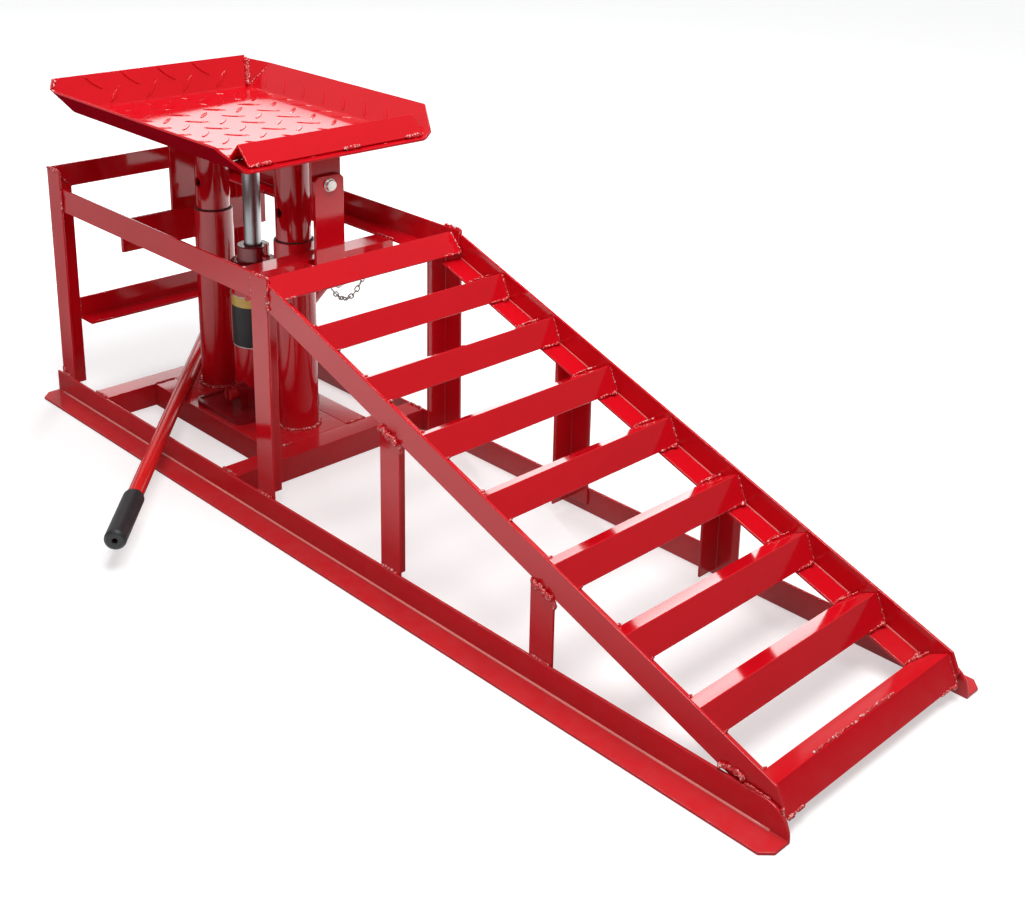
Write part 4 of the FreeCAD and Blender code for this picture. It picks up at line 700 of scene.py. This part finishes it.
def rung_marks(name):
    """Rear tip, ridge and front tip of a tread's section, with half its length."""
    points = mesh_points(name)
    half = max(point.y for point in points)
    ridge = max(points, key=lambda point: point.z)
    rear = min(points, key=lambda point: point.x)
    front = max((point for point in points if point.z < ridge.z - RIDGE_CLEAR), key=lambda point: point.x)
    return rear, ridge, front, half


def ring_path(x, z, radius, count=40):
    """Level circle round an upright tube."""
    return [(x + radius * math.cos(2 * math.pi * index / count),
             radius * math.sin(2 * math.pi * index / count), z) for index in range(count + 1)]


# %% [markdown]
# Each bead below is a path, a radius and a roughness. The tenths of a millimetre in a path say how far
# the middle of the bead stands off the corner of the steel that it fills.

# %% Tread welds
bm = bmesh.new()
treads = sorted(name for name in nodes if name.startswith("rung_")) + ["toe_bar"]
for name in treads:
    rear, ridge, front, half = rung_marks(name)
    for side in (-1, 1):
        wall, inner = side * (half + 0.0001), side * (half - 0.027)
        under, heel = front.x - 0.0005, rear.x - 0.0006
        add_bead(bm, [(front.x, wall, front.z), (ridge.x + 0.001, wall, ridge.z - 0.001)], 0.0012, 0.8)
        add_bead(bm, [(under, wall, front.z), (under, inner, front.z)], 0.0016, 1.3)
        add_bead(bm, [(front.x + 0.001, wall - side * 0.002, front.z + 0.001),
                      (front.x + 0.001, wall - side * 0.010, front.z)], 0.0024, 2)
        add_bead(bm, [(heel, wall, rear.z + 0.0012), (heel, inner, rear.z + 0.0004)], 0.0017, 1.4)
        add_bead(bm, [(rear.x + 0.008, wall - side * 0.001, rear.z + 0.006),
                      (rear.x + 0.0015, wall - side * 0.020, rear.z + 0.0025)], 0.0012, 1.6)
ridge = rung_marks("toe_bar")[1]
add_bead(bm, [(ridge.x - 0.0018, y, ridge.z - 0.0002) for y in (-0.078, -0.02, 0.044)], 0.0016, 2.2)
print("tread welds", len(bm.faces), "faces")

# %% Post, tube and rail welds
PROUD = 0.0006
RAIL_FACE, MITRE_TOP, BAR_Y, BAR_Z = 0.1364, 0.311, 0.105, 0.2605
post_top = max(point.z for point in mesh_points("rear_post_near"))
for x in TUBE_RUNS:
    add_bead(bm, ring_path(x, BASE_TOP + 0.0008, OUTER_RADIUS + 0.0010), 0.0027, 1.2)
for side in (-1, 1):
    face = side * (POST + PROUD)
    for x in (REAR, FRONT_POST, *SHORT_POSTS):
        add_bead(bm, [(x + 0.002, face, BASE_TOP + 0.0003), (x + LEG - 0.002, face, BASE_TOP + 0.0003)],
                 0.0019, 1.3)
    for x in (REAR + LEG + PROUD, FRONT_POST - PROUD):
        add_bead(bm, [(x, side * RAIL_FACE, RAIL_LOW + 0.002), (x, side * RAIL_FACE, RAIL_HIGH - 0.002)],
                 0.0018, 1.4)
    x = FRONT_POST + LEG
    add_bead(bm, [(x + 0.0012, side * 0.1378, slope_at(x) - 0.004),
                  (x + 0.0012, side * 0.1378, slope_at(x) - DROP + 0.002)], 0.0030, 1.9)
    add_bead(bm, [(x - LEG, side * 0.1358, RAIL_HIGH + PROUD), (x, side * 0.1358, RAIL_HIGH + PROUD)],
             0.0022, 1.6)
    for x in SHORT_POSTS:
        line = [(x + share * LEG, side * (POST + 0.0010), slope_at(x + share * LEG) - DROP - 0.0008)
                for share in (0.02, 0.3, 0.6, 0.98)]
        add_bead(bm, line, 0.0033, 2.1)
        end, low = x + LEG + PROUD, slope_at(x + LEG) - DROP
        add_bead(bm, [(end, side * (POST - 0.001), low - 0.001), (end, side * (POST - 0.001), low - 0.011)],
                 0.0022, 1.7)
    for x in BASE_ANGLES:
        add_bead(bm, [(x - LEG + 0.001, side * (POST - PROUD), BASE_TOP + 0.0004),
                      (x - 0.001, side * (POST - PROUD), BASE_TOP + 0.0004)], 0.0020, 1.3)
    for x in PLATE_ENDS:
        add_bead(bm, [(x, side * 0.069, BASE_TOP + 0.0002), (x, side * 0.041, BASE_TOP + 0.0002)], 0.0017)
    for x, width in CROSS_BARS:
        add_bead(bm, [(x - width, side * BAR_Y, BAR_Z), (x, side * BAR_Y, BAR_Z)], 0.0018, 1.4)
    for x in (REAR - 0.0004, REAR + WALL + 0.0004):
        add_bead(bm, [(x, side * POST, MITRE_TOP), (x, side * (POST - LEG), MITRE_TOP - LEG)], 0.0012, 1.4)
    add_bead(bm, [(REAR + 0.0012, side * (POST - 0.001), post_top - 0.0012),
                  (REAR + LEG - 0.002, side * (POST - 0.001), post_top - 0.0012)], 0.0024, 2)
    add_bead(bm, [(REAR + LEG * 0.3, side * (POST + 0.0008), BASE_TOP + 0.001),
                  (REAR + 0.002, side * (POST + 0.0008), BASE_TOP + 0.009)], 0.0026, 2.2)
    add_bead(bm, [(REAR + 0.0010, side * 0.1084, 0.099), (REAR + 0.0010, side * 0.1084, 0.127)], 0.0018, 1.4)
    clump = [(0.708, side * 0.1390, 0.0325), (0.716, side * 0.1388, 0.0358),
             (0.727, side * 0.1388, 0.0362), (0.737, side * 0.1390, 0.0335)]
    add_bead(bm, clump, 0.0030, 2.2)
    add_bead(bm, [(0.737, side * 0.1390, 0.0315), (0.763, side * 0.1390, 0.0300)], 0.0014, 1.8)
add_bead(bm, [(0.7745, -0.1385, 0.0285), (0.7790, -0.1388, 0.0135)], 0.0019, 2)
new_piece("frame_welds", bm, weld_paint, "frame")

# %% [markdown]
# ### Root of the rolled angle
# Hot-rolled angle iron has a round root inside its corner, and light runs along it as a thin line. A slim
# bar, sunk to half its width in the corner and painted pale, gives that line where the photograph shows it:
# the line is a painted highlight.

# %% Root lines
ROOT, ROOT_STEP = 0.0015, 0.02
BASE_ROOT = ((REAR + 0.004, 0.766), 0.1410, 0.0030)
STRINGER_ROOT, TREAD_GAP = 0.1350, 0.004
bm = bmesh.new()
for side in (-1, 1):
    lines = [[Vector((x, side * BASE_ROOT[1], BASE_ROOT[2])) for x in BASE_ROOT[0]]]
    marks = sorted((rung_marks(name) for name in treads), key=lambda mark: mark[1].x)
    for (_, _, front, _), (rear, _, _, _) in zip(marks, marks[1:]):
        ends = [Vector((x, side * STRINGER_ROOT, slope_at(x) - DROP + WALL * DROP / LEG))
                for x in (front.x - TREAD_GAP, rear.x + TREAD_GAP)]
        if ends[1].x > ends[0].x:
            lines.append(ends)
    for line in lines:
        spots = walk(line, ROOT_STEP)
        add_tube(bm, spots, [ROOT] * len(spots))
new_piece("root_highlight_lines", bm, root_highlight_paint, "frame")

# %% Platform welds
bm = bmesh.new()
for x in TUBE_RUNS:
    add_bead(bm, ring_path(x, UNDERSIDE - 0.0008, INNER_RADIUS + 0.0010), 0.0022, 1.2)
for x in STRAP_RUNS:
    for face in (x + 0.0005, x - STRAP - 0.0005):
        add_bead(bm, [(face, -0.019, UNDERSIDE - 0.0006), (face, 0.019, UNDERSIDE - 0.0006)], 0.0018, 1.3)
for share in (0.04, 0.16):
    crest = SEAM_TOP.lerp(LIP_END, share)
    add_bead(bm, [FAR_FOOT + Vector((0.002, -0.001, 0.002)), crest], 0.0024, 2.2)
add_bead(bm, [FAR_FOOT + Vector((0.002, -0.001, 0.0015)), LIP_END - Vector((0, 0.001, 0.001))], 0.0009, 1.2)
near_foot = Vector((REAR_FOLD, -HALF_FLOOR, TRAY_TOP + 0.001))
add_bead(bm, [near_foot, SPREAD], 0.0021, 2)
add_bead(bm, [SPREAD + Vector((0.001, 0.003, 0)), Vector((REAR_FOLD - REAR_LEAN, -REAR_TOP_NEAR + 0.003,
                                                         TRAY_TOP + REAR_RISE - 0.001))], 0.0021, 2.2)
rear, _, front, _ = rung_marks("front_ridge")
foot = front.z + 0.0006
for first, last in ((-0.114, -0.085), (0.010, 0.036), (0.100, 0.130)):
    add_bead(bm, [(front.x, first, foot), (front.x, last, foot)], 0.0024, 2.1)
for first, last in ((-0.104, -0.080), (-0.01, 0.02), (0.085, 0.112)):
    add_bead(bm, [(rear.x, first, rear.z), (rear.x, last, rear.z)], 0.0018, 1.3)
new_piece("platform_welds", bm, weld_paint, "platform")

# %% [markdown]
# ## Jack details
# The reservoir carries a sticker. It is shown as bare bands of colour: a yellow head, a black field
# and a thin pale border, each a strip of film one or two tenths of a millimetre off the tube. A dark
# ring where the platform's tubes slide in the guide tubes is painted shade in the gap between them.


# %% Bands of the sticker
def add_film(bm, radius, low, high, first, last, count=24):
    """Upright strip of film on the reservoir between two angles in degrees."""
    rows = []
    for z in (low, high):
        row = []
        for index in range(count + 1):
            turn = math.radians(first + (last - first) * index / count)
            row.append(bm.verts.new((JACK_X + radius * math.cos(turn), radius * math.sin(turn), z)))
        rows.append(row)
    for index in range(count):
        bm.faces.new((rows[0][index], rows[0][index + 1], rows[1][index + 1], rows[1][index]))


JACK_X, RESERVOIR = -0.1585, 0.0285
FILM = 0.00012
STICKER_FROM, STICKER_TO = -134, -8
# Name, finish, lowest and highest point, angle left free at each end, films of thickness.
STICKER = (("sticker_border", label_white, 0.1122, 0.1796, 0, 1),
           ("sticker_field", label_black, 0.1134, 0.1655, 1.6, 2),
           ("sticker_head", label_yellow, 0.1655, 0.1786, 1.6, 2))
for name, look, low, high, inset, films in STICKER:
    bm = bmesh.new()
    add_film(bm, RESERVOIR + FILM * films, low, high, STICKER_FROM + inset, STICKER_TO - inset)
    new_piece(name, bm, look, "frame")

# %% Painted shade rings at the guide tubes
SHADE_RING = 0.0009
bm = bmesh.new()
for x in TUBE_RUNS:
    path = ring_path(x, RIM + 0.0004, INNER_RADIUS + SHADE_RING)
    spots = walk([Vector(point) for point in path], 0.002)
    add_tube(bm, spots, [SHADE_RING * (1 + 0.4 * noise.noise(spot * 120)) for spot, along in spots])
new_piece("painted_shade_rings", bm, rim_shade_paint, "frame")

# %% [markdown]
# ## Chain of round wire
# The lock's chain hangs in a loose curve between the pin's clip and the cross angle. Its links are loops
# of round wire, each one turned a right angle from the last, so they are drawn along the curve one by one.

# %% Links along the hanging curve
CHAIN_START, CHAIN_END = Vector((0.0343, -0.0235, 0.239)), Vector((-0.0115, 0.066, 0.246))
SAG, CURVE_STEPS, LINK_PITCH = 0.028, 200, 0.0086
LINK_HALF, LINK_SIDE, WIRE = 0.0054, 0.0032, 0.00075
FIRST_ROLL, ROLL_STEP = math.radians(40), math.radians(90)
LOOP_STEPS = 24


def hanging(share):
    """Point of the chain's curve, from 0 at the pin to 1 at the cross angle."""
    return CHAIN_START.lerp(CHAIN_END, share) - Vector((0, 0, 4 * SAG * share * (1 - share)))


bm = bmesh.new()
curve = [hanging(index / CURVE_STEPS) for index in range(CURVE_STEPS + 1)]
straight, bend = LINK_HALF - LINK_SIDE, LINK_SIDE - WIRE
travelled, next_link, count = 0.0, LINK_PITCH / 2, 0
for before, after in zip(curve, curve[1:]):
    travelled += (after - before).length
    if travelled < next_link:
        continue
    next_link += LINK_PITCH
    long = (after - before).normalized()
    flat = long.cross(Vector((0, 0, 1))).normalized()
    wide = Matrix.Rotation(FIRST_ROLL + count * ROLL_STEP, 3, long) @ flat
    loop = []
    for index in range(LOOP_STEPS):
        turn = 2 * math.pi * (index + 0.5) / LOOP_STEPS
        loop.append(after + long * (bend * math.cos(turn) + math.copysign(straight, math.cos(turn)))
                    + wide * bend * math.sin(turn))
    spots = [(point, (loop[(index + 1) % LOOP_STEPS] - loop[index - 1]).normalized())
             for index, point in enumerate(loop)]
    spots.append(spots[0])
    add_tube(bm, spots, [WIRE] * len(spots))
    count += 1
chain_piece = new_piece("chain_links", bm, chain_zinc, "frame")
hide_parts("lock_chain")
print(count, "links")
